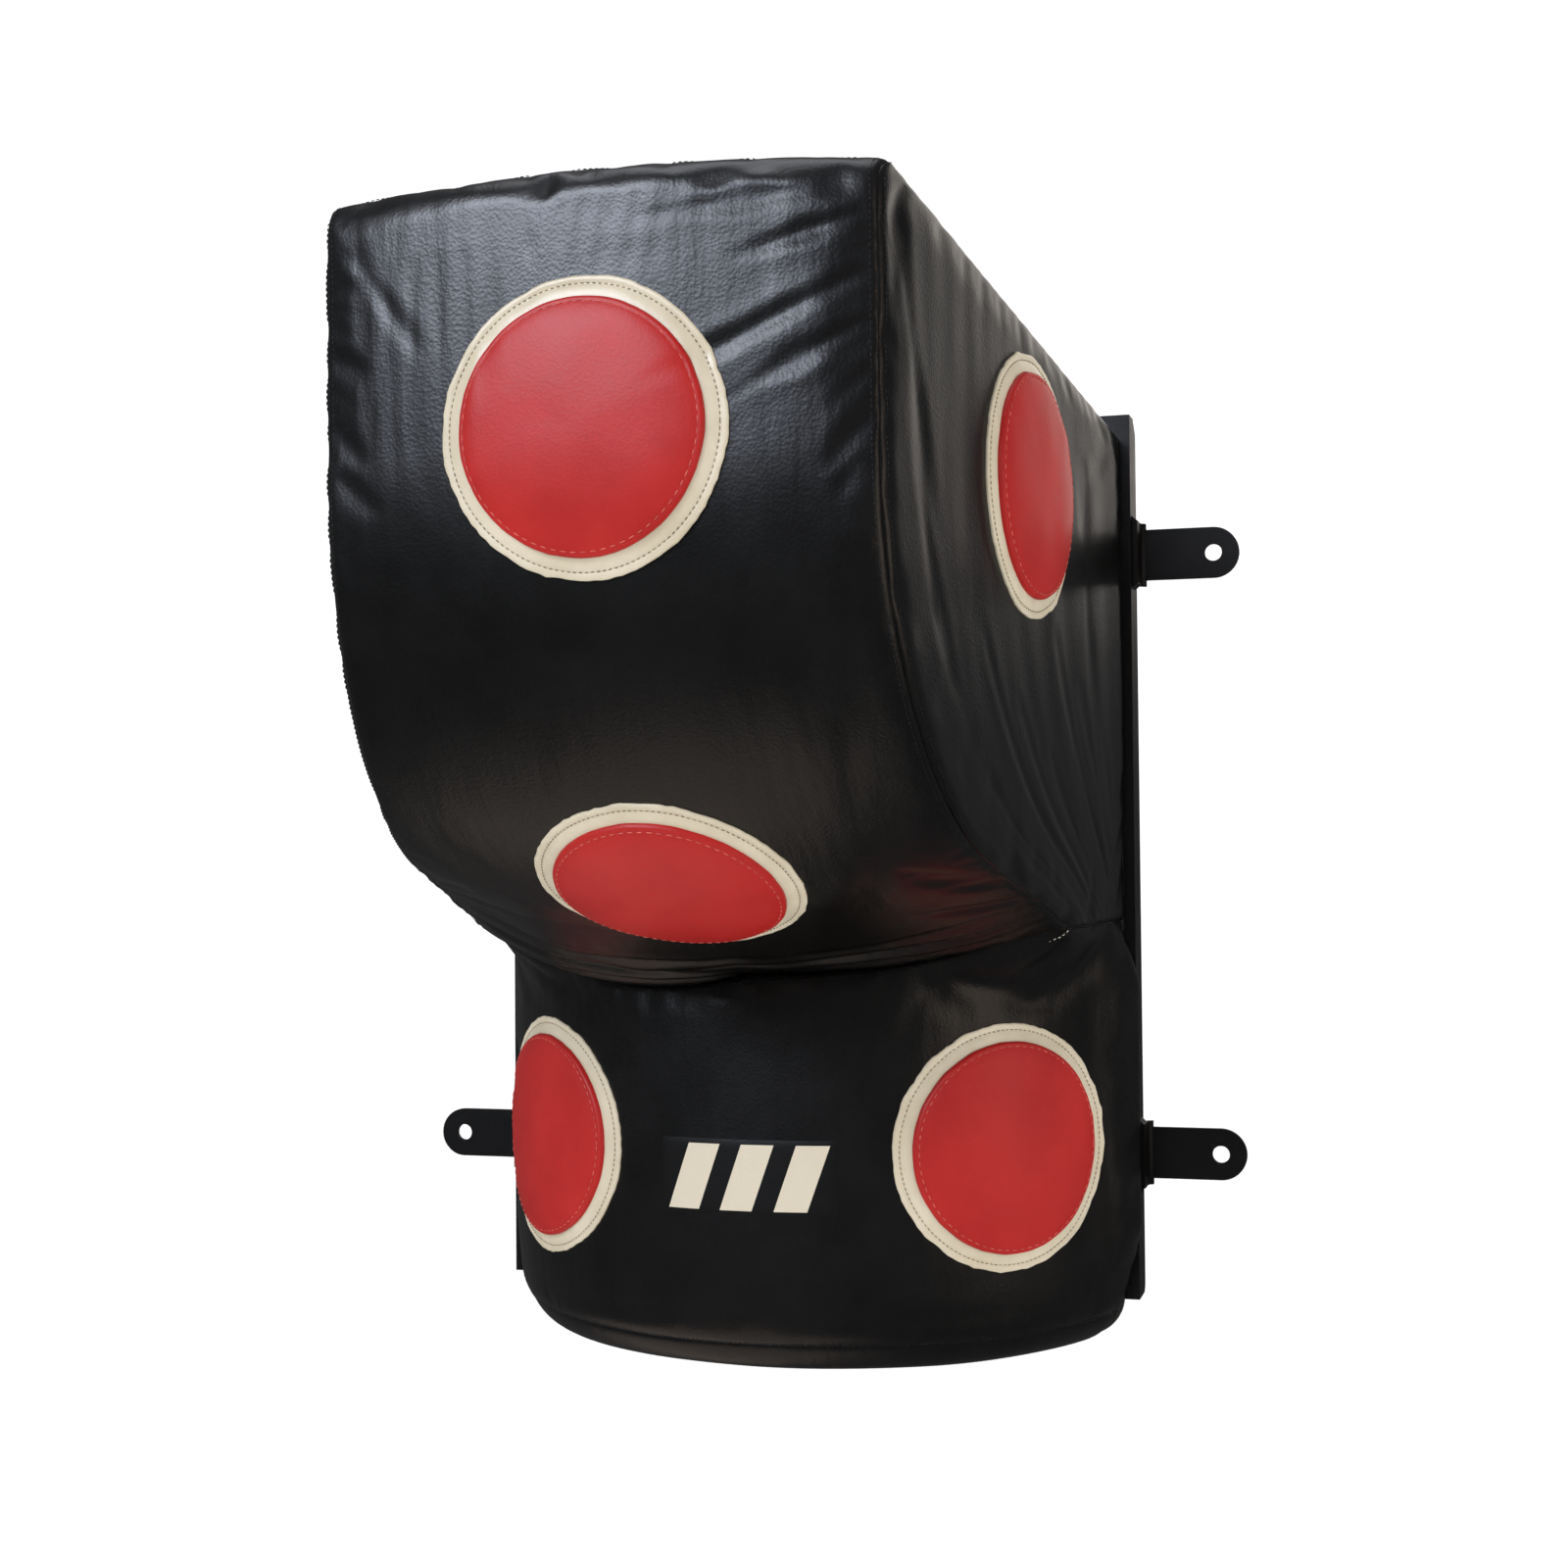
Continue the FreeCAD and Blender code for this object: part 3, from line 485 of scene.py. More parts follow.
@dataclass
class Panel:
    """One sewn panel of the cover: a grid laid on a surface, pinched at its seams, creased and puffed."""

    name: str
    nodes: tuple[str, ...]
    place: Place
    size: tuple[float, float]
    cells: tuple[int, int]
    crown: float = 3.0
    creases: list[Crease] = field(default_factory=list)
    ripple: tuple[float, float, float] = (0.6, 8.0, 3.0)
    puff: Puff | None = field(default_factory=Puff)
    pinch: float = 1.9 * MM
    pinch_reach: float = 13.0 * MM
    calm_reach: float = 25.0 * MM
    turn_in: float = 9.0 * MM
    fill: float = 0.85
    tree: BVHTree | None = None

    def height(self, u: float, v: float) -> float:
        """Height of the skin over the plain surface, from pinch, crown, creases and ripple.

        Args:
            u: share across the panel.
            v: share along the panel.

        Returns:
            The height in metres.
        """
        edge = min(u, 1 - u) * self.size[0], min(v, 1 - v) * self.size[1]
        near = min(edge)
        lift = -self.pinch * max(0.0, 1 - near / self.pinch_reach) ** 2
        lift += self.crown * MM * (16 * u * (1 - u) * v * (1 - v)) ** 0.6
        calm = min(1.0, near / self.calm_reach)
        lift += sum(c.at(u, v, self.size) for c in self.creases) * calm
        amount, fu, fv = self.ripple
        lift += amount * MM * calm * noise.noise(Vector((u * fu, v * fv, len(self.name))))
        return lift

    def build(self, material: bpy.types.Material) -> bpy.types.Object:
        """Makes the panel.

        Args:
            material: the cover's finish.

        Returns:
            The panel, with the grid's own UV map.
        """
        shape = bmesh.new()
        bmesh.ops.create_grid(shape, x_segments=self.cells[0], y_segments=self.cells[1], size=0.5,
                              calc_uvs=True)
        shares = [(v.co.x + 0.5, v.co.y + 0.5) for v in shape.verts]
        for vertex, (u, v) in zip(shape.verts, shares):
            vertex.co = self.place(u, v)
        bmesh.ops.reverse_faces(shape, faces=shape.faces)
        shape.normal_update()
        normals = [v.normal.copy() for v in shape.verts]
        for vertex, normal, (u, v) in zip(shape.verts, normals, shares):
            vertex.co += normal * self.height(u, v)
        held = {n for n, (u, v) in enumerate(shares) if min(u, 1 - u, v, 1 - v) < 1e-4}
        if self.puff:
            self.puff.run(shape, held)
        self.tree = BVHTree.FromBMesh(shape)
        rim = [e for e in shape.edges if e.is_boundary] if self.turn_in else []
        shape.normal_update()
        turned = bmesh.ops.extrude_edge_only(shape, edges=rim)["geom"]
        new = [g for g in turned if isinstance(g, bmesh.types.BMVert)]
        for vertex in new:
            inward = Vector((0, 0, 0))
            for edge in vertex.link_edges:
                other = edge.other_vert(vertex)
                if other not in new:
                    inward = other.normal
            vertex.co -= inward * self.turn_in
        piece = finish_piece(self.name, shape, material, self.nodes)
        smooth = piece.modifiers.new("Smooth", "SUBSURF")
        smooth.levels = smooth.render_levels = 1
        return piece

    def on_skin(self, u: float, v: float) -> tuple[Vector, Vector]:
        """Finds the finished skin beside a place on the plain surface.

        Args:
            u: share across the panel.
            v: share along the panel.

        Returns:
            The nearest point of the skin and its outward normal.
        """
        spot, normal, _, _ = self.tree.find_nearest(self.place(u, v))
        return spot, normal


@dataclass
class StitchRow:
    """A row of short thread stitches sewn into a skin. A run is how many stitches are made at a time."""

    pitch: float = 4.3 * MM
    length: float = 3.1 * MM
    radius: float = 0.42 * MM
    sink: float = 0.1 * MM
    run: int = 24

    def places(self, path: list[tuple[Vector, Vector]]) -> list[Matrix]:
        """Where each stitch lies.

        Args:
            path: points with their outward normals, close together.

        Returns:
            One matrix a stitch, which turns a unit ball into it.
        """
        found = []
        carried = 0.0
        for (a, normal), (b, _) in zip(path, path[1:]):
            step = b - a
            if step.length < 1e-9:
                continue
            while carried < step.length:
                spot = a + step * (carried / step.length) - normal * self.sink
                along = step.normalized()
                side = normal.cross(along).normalized()
                basis = Matrix((along, side, along.cross(side))).transposed().to_4x4()
                sized = Matrix.Diagonal((self.length / 2, self.radius, self.radius, 1))
                found.append(Matrix.Translation(spot) @ basis @ sized @ Matrix.Rotation(math.pi / 2, 4, "Y"))
                carried += self.pitch
            carried -= step.length
        return found

    def add(self, shape: bmesh.types.BMesh, path: list[tuple[Vector, Vector]]) -> None:
        """Sews along a path, in short runs that are joined, which keeps a long row quick.

        Args:
            shape: the mesh that the stitches join.
            path: points with their outward normals, close together.
        """
        places = self.places(path)
        for start in range(0, len(places), self.run):
            run = bmesh.new()
            for matrix in places[start : start + self.run]:
                bmesh.ops.create_uvsphere(run, u_segments=6, v_segments=4, radius=1.0, matrix=matrix)
            mesh = bpy.data.meshes.new("run")
            run.to_mesh(mesh)
            run.free()
            shape.from_mesh(mesh)
            bpy.data.meshes.remove(mesh)


# ---------------------------------------------------------------- the bag's form


@dataclass(frozen=True)
class Outline:
    """The upper block's section: rounded front corner, face, belly arc and the line to the neck.

    The three last values are the shares of the way at which the corner, the face and the arc end.
    """

    front: float
    top: float
    slope: float
    corner: float
    arc_start: float
    radius: float
    neck: tuple[float, float]
    corner_end: float = 0.035
    face_end: float = 0.25
    arc_end: float = 0.75

    def at(self, v: float) -> tuple[float, float]:
        """A point of the outline.

        Args:
            v: share of the way from the top edge to the neck.

        Returns:
            Its depth and height.
        """
        lean = math.atan(self.slope)
        reach = self.corner * math.tan((math.pi / 2 - lean) / 2)
        centre = (self.front + self.corner, self.top - reach)
        if v < self.corner_end:
            angle = (math.pi / 2 + lean) * (1 - v / self.corner_end)
            return centre[0] - self.corner * math.cos(angle), centre[1] + self.corner * math.sin(angle)
        if v < self.face_end:
            share = (v - self.corner_end) / (self.face_end - self.corner_end)
            return self.front, centre[1] + (self.arc_start - centre[1]) * share
        centre_y = self.front + self.radius
        to_neck = (self.neck[0] - centre_y, self.neck[1] - self.arc_start)
        turn = math.atan2(to_neck[1], to_neck[0]) + math.acos(-self.radius / math.hypot(*to_neck))
        if v < self.arc_end:
            angle = turn * (v - self.face_end) / (self.arc_end - self.face_end)
            return centre_y - self.radius * math.cos(angle), self.arc_start - self.radius * math.sin(angle)
        share = (v - self.arc_end) / (1 - self.arc_end)
        y = centre_y - self.radius * math.cos(turn)
        z = self.arc_start - self.radius * math.sin(turn)
        return y + (self.neck[0] - y) * share, z + (self.neck[1] - z) * share


@dataclass
class BagForm:
    """The sizes of the bag, in metres, and the surfaces its panels lie on."""

    back: float = -40 * MM
    front: float = -590 * MM
    front_half: float = 201 * MM
    back_half: float = 284 * MM
    side_top: float = 462 * MM
    top_back: float = 366 * MM
    bulge: float = 17 * MM
    top_bulge: float = 8 * MM
    front_corner: float = 22 * MM
    seam_arc: tuple[float, float] = (272 * MM, 292 * MM)
    middle_arc: tuple[float, float] = (280 * MM, 345 * MM)
    neck_z: float = -60 * MM
    neck_dip: float = 36 * MM
    neck_side_y: float = -190 * MM
    neck_corner_y: float = -184 * MM
    neck_middle_y: float = -240 * MM
    neck_inset: float = 4 * MM
    pillar_radius: float = 298 * MM
    pillar_centre: float = 58 * MM
    pillar_corner: float = 214 * MM
    corner_share: float = 0.62
    flare_end: float = -128 * MM
    rim: float = -403 * MM
    bottom: float = -423 * MM
    edge_radius: float = 38 * MM
    edge_share: float = 0.4
    wall_bulge: float = 17 * MM
    left_bulge: float = 0.4
    bulge_start: float = 0.8
    bulge_upper: float = 50 * MM
    bulge_lower: float = 80 * MM
    rim_reach: float = 90 * MM
    rim_pull: float = 0.016
    rim_depth_pull: float = 0.03
    wrap_shift: float = 5 * MM
    uneven_sag: float = 15 * MM
    tuck: float = 6 * MM
    seam: Outline = field(init=False)
    middle: Outline = field(init=False)

    def __post_init__(self) -> None:
        """Makes the section outlines at the side seam and in the middle."""
        fall = self.side_top - self.top_back
        depth = self.back - self.front
        self.seam = Outline(self.front, self.side_top, fall / depth, self.front_corner, *self.seam_arc,
                            (self.neck_side_y, self.neck_z))
        self.middle = Outline(self.front - self.bulge, self.side_top + self.top_bulge,
                              fall / (depth + self.bulge), self.front_corner, *self.middle_arc,
                              (self.neck_middle_y, self.neck_z - self.neck_dip))

    def half(self, y: float) -> float:
        """Half the width of the upper block at a depth."""
        share = (y - self.front) / (self.back - self.front)
        return self.front_half + (self.back_half - self.front_half) * share

    def sag(self, t: float) -> float:
        """How far the neck seam hangs lower on its left half, at -1 to 1 across."""
        share = min(1.0, max(0.0, -t))
        return self.uneven_sag * 4 * share * (1 - share)

    def front_panel(self, u: float, v: float) -> Vector:
        """The front and belly panel.

        Args:
            u: share from left to right.
            v: share from the top to the neck.

        Returns:
            The place on the plain surface.
        """
        t = 2 * u - 1
        seam, middle = self.seam.at(v), self.middle.at(v)
        y = middle[0] + (seam[0] - middle[0]) * t * t
        z = middle[1] + (seam[1] - middle[1]) * t * t
        return Vector((t * self.half(seam[0]), y, z - self.sag(t) * max(0.0, (v - 0.8) / 0.2)))

    def top_panel(self, u: float, v: float) -> Vector:
        """The top panel.

        Args:
            u: share from left to right.
            v: share from the wall to the front edge.

        Returns:
            The place on the plain surface.
        """
        t = 2 * u - 1
        ends = self.seam.at(0.0), self.middle.at(0.0)
        seam = (self.back + (ends[0][0] - self.back) * v, self.top_back + (ends[0][1] - self.top_back) * v)
        rise = self.top_back + self.top_bulge
        middle = (self.back + (ends[1][0] - self.back) * v, rise + (ends[1][1] - rise) * v)
        y = middle[0] + (seam[0] - middle[0]) * t * t
        z = middle[1] + (seam[1] - middle[1]) * t * t
        return Vector((t * self.half(seam[0]), y, z))

    def side_panel(self, side: Side) -> Place:
        """A side panel's surface, blended from its four edges.

        Args:
            side: the left or the right panel.

        Returns:
            A function from two shares to a place on the plain surface.
        """
        upper = self.seam.at(0.0)
        wall_top = (self.back, self.top_back)
        neck = (self.neck_side_y, self.neck_z)
        wall_low = (self.back, self.neck_z)

        def place(u: float, v: float) -> Vector:
            """A place on the panel.

            Args:
                u: share from left to right, as the panel is seen from its own side.
                v: share from the top edge to the lower edge.

            Returns:
                The place on the plain surface.
            """
            inward = u if side is Side.RIGHT else 1 - u
            front = self.seam.at(v)
            back = (self.back, self.top_back + (self.neck_z - self.top_back) * v)
            y, z = (
                front[i] * (1 - inward) + back[i] * inward
                + (upper[i] + (wall_top[i] - upper[i]) * inward) * (1 - v)
                + (neck[i] + (wall_low[i] - neck[i]) * inward) * v
                - upper[i] * (1 - inward) * (1 - v) - wall_top[i] * inward * (1 - v)
                - neck[i] * (1 - inward) * v - wall_low[i] * inward * v
                for i in (0, 1)
            )
            return Vector((side.value * self.half(y), y, z))

        return place

    def pillar_plan(self, u: float, round_share: float) -> tuple[float, float]:
        """A point of the lower block's plan.

        Args:
            u: share from the left wall edge to the right one.
            round_share: 0 for the square neck, 1 for the round pillar.

        Returns:
            Its place across and its depth.
        """
        half = math.sqrt(self.pillar_radius**2 - (self.pillar_centre - self.back) ** 2)
        t = 2 * u - 1
        sign = 1 if t >= 0 else -1
        turn_corner = math.asin(self.pillar_corner / self.pillar_radius)
        turn_wall = math.asin(half / self.pillar_radius)
        corner = (self.half(self.neck_corner_y) - self.neck_inset, self.neck_corner_y)
        if abs(t) < self.corner_share:
            share = t / self.corner_share
            turn = turn_corner * share
            bow = (self.neck_corner_y - self.neck_middle_y) * share * share
            neck = (corner[0] * share, self.neck_middle_y + bow)
        else:
            share = (abs(t) - self.corner_share) / (1 - self.corner_share)
            turn = sign * (turn_corner + (turn_wall - turn_corner) * share)
            neck = (sign * (corner[0] + (half - corner[0]) * share),
                    corner[1] + (self.back - corner[1]) * share)
        round_x = self.pillar_radius * math.sin(turn)
        round_y = self.pillar_centre - self.pillar_radius * math.cos(turn)
        return neck[0] + (round_x - neck[0]) * round_share, neck[1] + (round_y - neck[1]) * round_share

    def rounding(self, z: float) -> float:
        """How far the rounded lower edge has drawn in at a height."""
        drop = max(0.0, self.bottom + self.edge_radius - z)
        return self.edge_radius - math.sqrt(max(0.0, self.edge_radius**2 - drop**2))

    def swell(self, u: float, z: float) -> float:
        """How far the wrap swells sideways over an upright.

        Args:
            u: share from the left wall edge to the right one.
            z: height.

        Returns:
            The move to the right, so it is negative on the left.
        """
        edge = max(0.0, (abs(2 * u - 1) - self.bulge_start) / (1 - self.bulge_start))
        upper = min(1.0, max(0.0, (self.neck_z - z) / self.bulge_upper))
        lower = min(1.0, max(0.0, (z - self.rim) / self.bulge_lower))
        amount = self.wall_bulge * edge * edge * (3 - 2 * edge) * upper * lower
        return amount if u > 0.5 else -self.left_bulge * amount

    def lower_wrap(self, u: float, v: float) -> Vector:
        """The lower wrap.

        Args:
            u: share from the left wall edge to the right one.
            v: share from the neck to the rim.

        Returns:
            The place on the plain surface.
        """
        t = (2 * u - 1) / self.corner_share
        start = self.neck_z - self.neck_dip * max(0.0, 1 - t * t) - self.sag(t)
        start += self.tuck * min(1.0, max(0.0, (abs(t) - 1) / 0.1))
        z = start + (self.rim - start) * v
        share = min(1.0, max(0.0, (self.neck_z - z) / (self.neck_z - self.flare_end)))
        x, y = self.pillar_plan(u, math.sin(share * math.pi / 2))
        low = max(0.0, 1 - (z - self.rim) / self.rim_reach)
        scale = 1 - self.rounding(z) / self.pillar_radius
        depth = (y - self.back) * (1 - self.rim_depth_pull * low * low) * scale
        across = (x + self.swell(u, z)) * (1 - self.rim_pull * low * low) * scale
        return Vector((across, self.back - self.wrap_shift + depth, z))

    def bottom_panel(self, u: float, v: float) -> Vector:
        """The bottom panel.

        Args:
            u: share from left to right.
            v: share from the rim seam, round the edge, to the wall.

        Returns:
            The place on the plain surface.
        """
        x, y = self.pillar_plan(u, 1.0)
        x, depth = x * (1 - self.rim_pull), (y - self.back) * (1 - self.rim_depth_pull)
        first = math.asin((self.bottom + self.edge_radius - self.rim - self.tuck) / self.edge_radius)
        angle = first + (math.pi / 2 - first) * min(1.0, v / self.edge_share)
        inset = self.edge_radius * (1 - math.cos(angle))
        z = self.bottom + self.edge_radius * (1 - math.sin(angle))
        scale = 1 - inset / self.pillar_radius
        wall_y = self.back - self.wrap_shift
        edge_x, edge_y = x * scale, wall_y + depth * scale
        share = max(0.0, (v - self.edge_share) / (1 - self.edge_share))
        goal_x = (2 * u - 1) * self.pillar_radius * 0.8
        return Vector((edge_x + (goal_x - edge_x) * share, edge_y + (wall_y - edge_y) * share, z))


@dataclass
class Cover:
    """The stitched cover: front, top and side panels, the lower wrap and the bottom."""

    form: BagForm
    skin: bpy.types.Material
    thread: bpy.types.Material
    contrast: bpy.types.Material
    panels: dict[str, Panel] = field(default_factory=dict)

    def build(self) -> None:
        """Builds every panel, then the rows of stitches."""
        form = self.form
        self.panels["front"] = Panel(
            "cover_front", ("cover_front_panel", "upper_strike_foam", "upper_core"), form.front_panel,
            (0.43, 1.02), (76, 164), 2.0, self.front_creases(), (0.9, 9.0, 3.0), Puff(2.5, 0.010, 4 * MM),
        )
        self.panels["top"] = Panel(
            "cover_top", ("cover_top_panel",), form.top_panel, (0.49, 0.56), (54, 60), 3.0,
            [Crease((0.06, 0.94), (0.3, 0.7), 1.6, 11), Crease((0.94, 0.94), (0.7, 0.7), 1.6, 11),
             Crease((0.1, 0.08), (0.45, 0.2), 1.2, 14), Crease((0.9, 0.1), (0.6, 0.25), 1.2, 14)],
            (1.0, 4.0, 4.0), Puff(2.0, 0.010, 4 * MM),
        )
        for side in Side:
            name = side.name.lower()
            self.panels["side_" + name] = Panel(
                "cover_side_" + name, ("cover_side_panel_" + name,), form.side_panel(side),
                (0.5, 0.52), (72, 76), 1.0, self.side_creases(side), (1.0, 14.0, 2.0),
                Puff(2.0, 0.008, 2.5 * MM),
            )
        self.panels["lower"] = Panel(
            "cover_lower", ("cover_lower_wrap", "lower_strike_foam", "lower_core"), form.lower_wrap,
            (0.8, 0.34), (110, 48), 2.0,
            [
                Crease((0.30, 0.04), (0.36, 0.3), 1.6, 12), Crease((0.70, 0.04), (0.64, 0.3), 1.6, 12),
                Crease((0.45, 0.05), (0.47, 0.22), 1.0, 12), Crease((0.56, 0.05), (0.55, 0.25), 1.0, 12),
                Crease((0.2, 0.94), (0.45, 0.88), 1.3, 10), Crease((0.8, 0.94), (0.55, 0.88), 1.3, 10),
                Crease((0.93, 0.5), (0.95, 0.9), 1.2, 12), Crease((0.07, 0.5), (0.05, 0.9), 1.2, 12),
            ],
            (0.8, 12.0, 2.5), Puff(2.5, 0.010, 4 * MM),
        )
        self.panels["bottom"] = Panel(
            "cover_bottom", ("cover_bottom_panel",), form.bottom_panel, (0.7, 0.24), (64, 26), 0.0,
            [], (0.8, 6.0, 3.0), None, turn_in=0.0,
        )
        for panel in self.panels.values():
            panel.build(self.skin)
        self.sew()

    def front_creases(self) -> list[Crease]:
        """Pull lines of the front panel: from the top corners, above the neck and beside the target.

        Returns:
            The creases.
        """
        lines = [
            Crease((0.975, 0.062), (0.76, 0.10), 2.6, 9), Crease((0.975, 0.11), (0.64, 0.20), 3.0, 10),
            Crease((0.975, 0.15), (0.74, 0.22), 2.2, 9), Crease((0.94, 0.04), (0.6, 0.065), 1.8, 9),
            Crease((0.05, 0.05), (0.2, 0.16), 1.8, 10), Crease((0.04, 0.3), (0.12, 0.52), 1.6, 12),
            Crease((0.95, 0.34), (0.86, 0.58), 1.2, 12),
            Crease((0.05, 0.925), (0.52, 0.957), 6.5, 12), Crease((0.36, 0.942), (0.94, 0.925), 6.5, 12),
            Crease((0.12, 0.972), (0.7, 0.977), 5.0, 10), Crease((0.55, 0.966), (0.93, 0.955), 4.6, 10),
            Crease((0.2, 0.90), (0.55, 0.914), 3.6, 11), Crease((0.62, 0.905), (0.93, 0.88), 2.2, 10),
            Crease((0.08, 0.86), (0.3, 0.93), 2.2, 11), Crease((0.1, 0.62), (0.3, 0.8), 1.0, 14),
            Crease((0.9, 0.62), (0.72, 0.8), 1.0, 14),
        ]
        for n in range(6):
            lines.append(Crease((0.08 + 0.052 * n, 0.08), (0.10 + 0.048 * n, 0.24 + 0.02 * (n % 3)), 0.8, 7))
            lines.append(Crease((0.42 + 0.045 * n, 0.045), (0.40 + 0.045 * n, 0.11), 0.7, 6))
        return lines

    def side_creases(self, side: Side) -> list[Crease]:
        """Pull lines of a side panel: long hanging folds and short puckers at the seam.

        Args:
            side: the left or the right panel; the left one is mirrored.

        Returns:
            The creases.
        """
        lines = [
            ((0.05, 0.05), (0.16, 0.32), 1.6, 10), ((0.10, 0.20), (0.16, 0.50), 1.4, 10),
            ((0.93, 0.06), (0.8, 0.16), 1.3, 9), ((0.62, 0.06), (0.66, 0.2), 1.0, 10),
            ((0.78, 0.15), (0.80, 0.55), 1.2, 12),
        ]
        for n in range(7):
            lean = 0.03 * (n * 5 % 3)
            foot = (0.27 + 0.1 * n + lean, 0.95)
            lines.append(((0.2 + 0.105 * n, 0.6 - 3 * lean), foot, 1.1 + 6 * lean, 9))
            lines.append(((0.05 + 0.02 * n, 0.42 + 0.075 * n), (0.14 + 0.03 * n, 0.38 + 0.07 * n), 1.2, 8))
        if side is Side.LEFT:
            lines = [((1 - a[0], a[1]), (1 - b[0], b[1]), depth, width) for a, b, depth, width in lines]
        return [Crease(*line) for line in lines]

    def row(self, panel: Panel, start: tuple[float, float], end: tuple[float, float],
            count: int = 240) -> list[tuple[Vector, Vector]]:
        """A straight row on a panel.

        Args:
            panel: the panel.
            start: the row's first place, in shares of the panel.
            end: its last place.
            count: how many steps it is cut into.

        Returns:
            Points and normals on the finished skin.
        """
        path = []
        for n in range(count + 1):
            share = n / count
            path.append(panel.on_skin(start[0] + (end[0] - start[0]) * share,
                                      start[1] + (end[1] - start[1]) * share))
        return path

    def sew(self) -> None:
        """Sews the top-stitching beside each seam."""
        rows = {
            "front": [((0.016, 0.01), (0.016, 0.99)), ((0.984, 0.01), (0.984, 0.99)),
                      ((0.02, 0.006), (0.98, 0.006)), ((0.02, 0.992), (0.98, 0.992))],
            "top": [((0.02, 0.986), (0.98, 0.986)), ((0.012, 0.02), (0.012, 0.98)),
                    ((0.988, 0.02), (0.988, 0.98))],
            "side_right": [((0.014, 0.01), (0.014, 0.99)), ((0.02, 0.987), (0.98, 0.987))],
            "side_left": [((0.986, 0.01), (0.986, 0.99)), ((0.02, 0.987), (0.98, 0.987))],
            "lower": [((0.01, 0.02), (0.99, 0.02)), ((0.01, 0.982), (0.99, 0.982))],
        }
        shape = bmesh.new()
        for key, lines in rows.items():
            for start, end in lines:
                StitchRow().add(shape, self.row(self.panels[key], start, end))
        finish_piece("cover_stitches", shape, self.thread, ())
        corner = bmesh.new()
        for lines in (((0.802, 0.028), (0.817, 0.010)), ((0.198, 0.028), (0.183, 0.010))):
            path = self.row(self.panels["lower"], *lines, 60)
            StitchRow(4.3 * MM, 3.0 * MM, 0.6 * MM, 0.0).add(corner, path)
        finish_piece("corner_stitches", corner, self.contrast, ())


# ---------------------------------------------------------------- targets


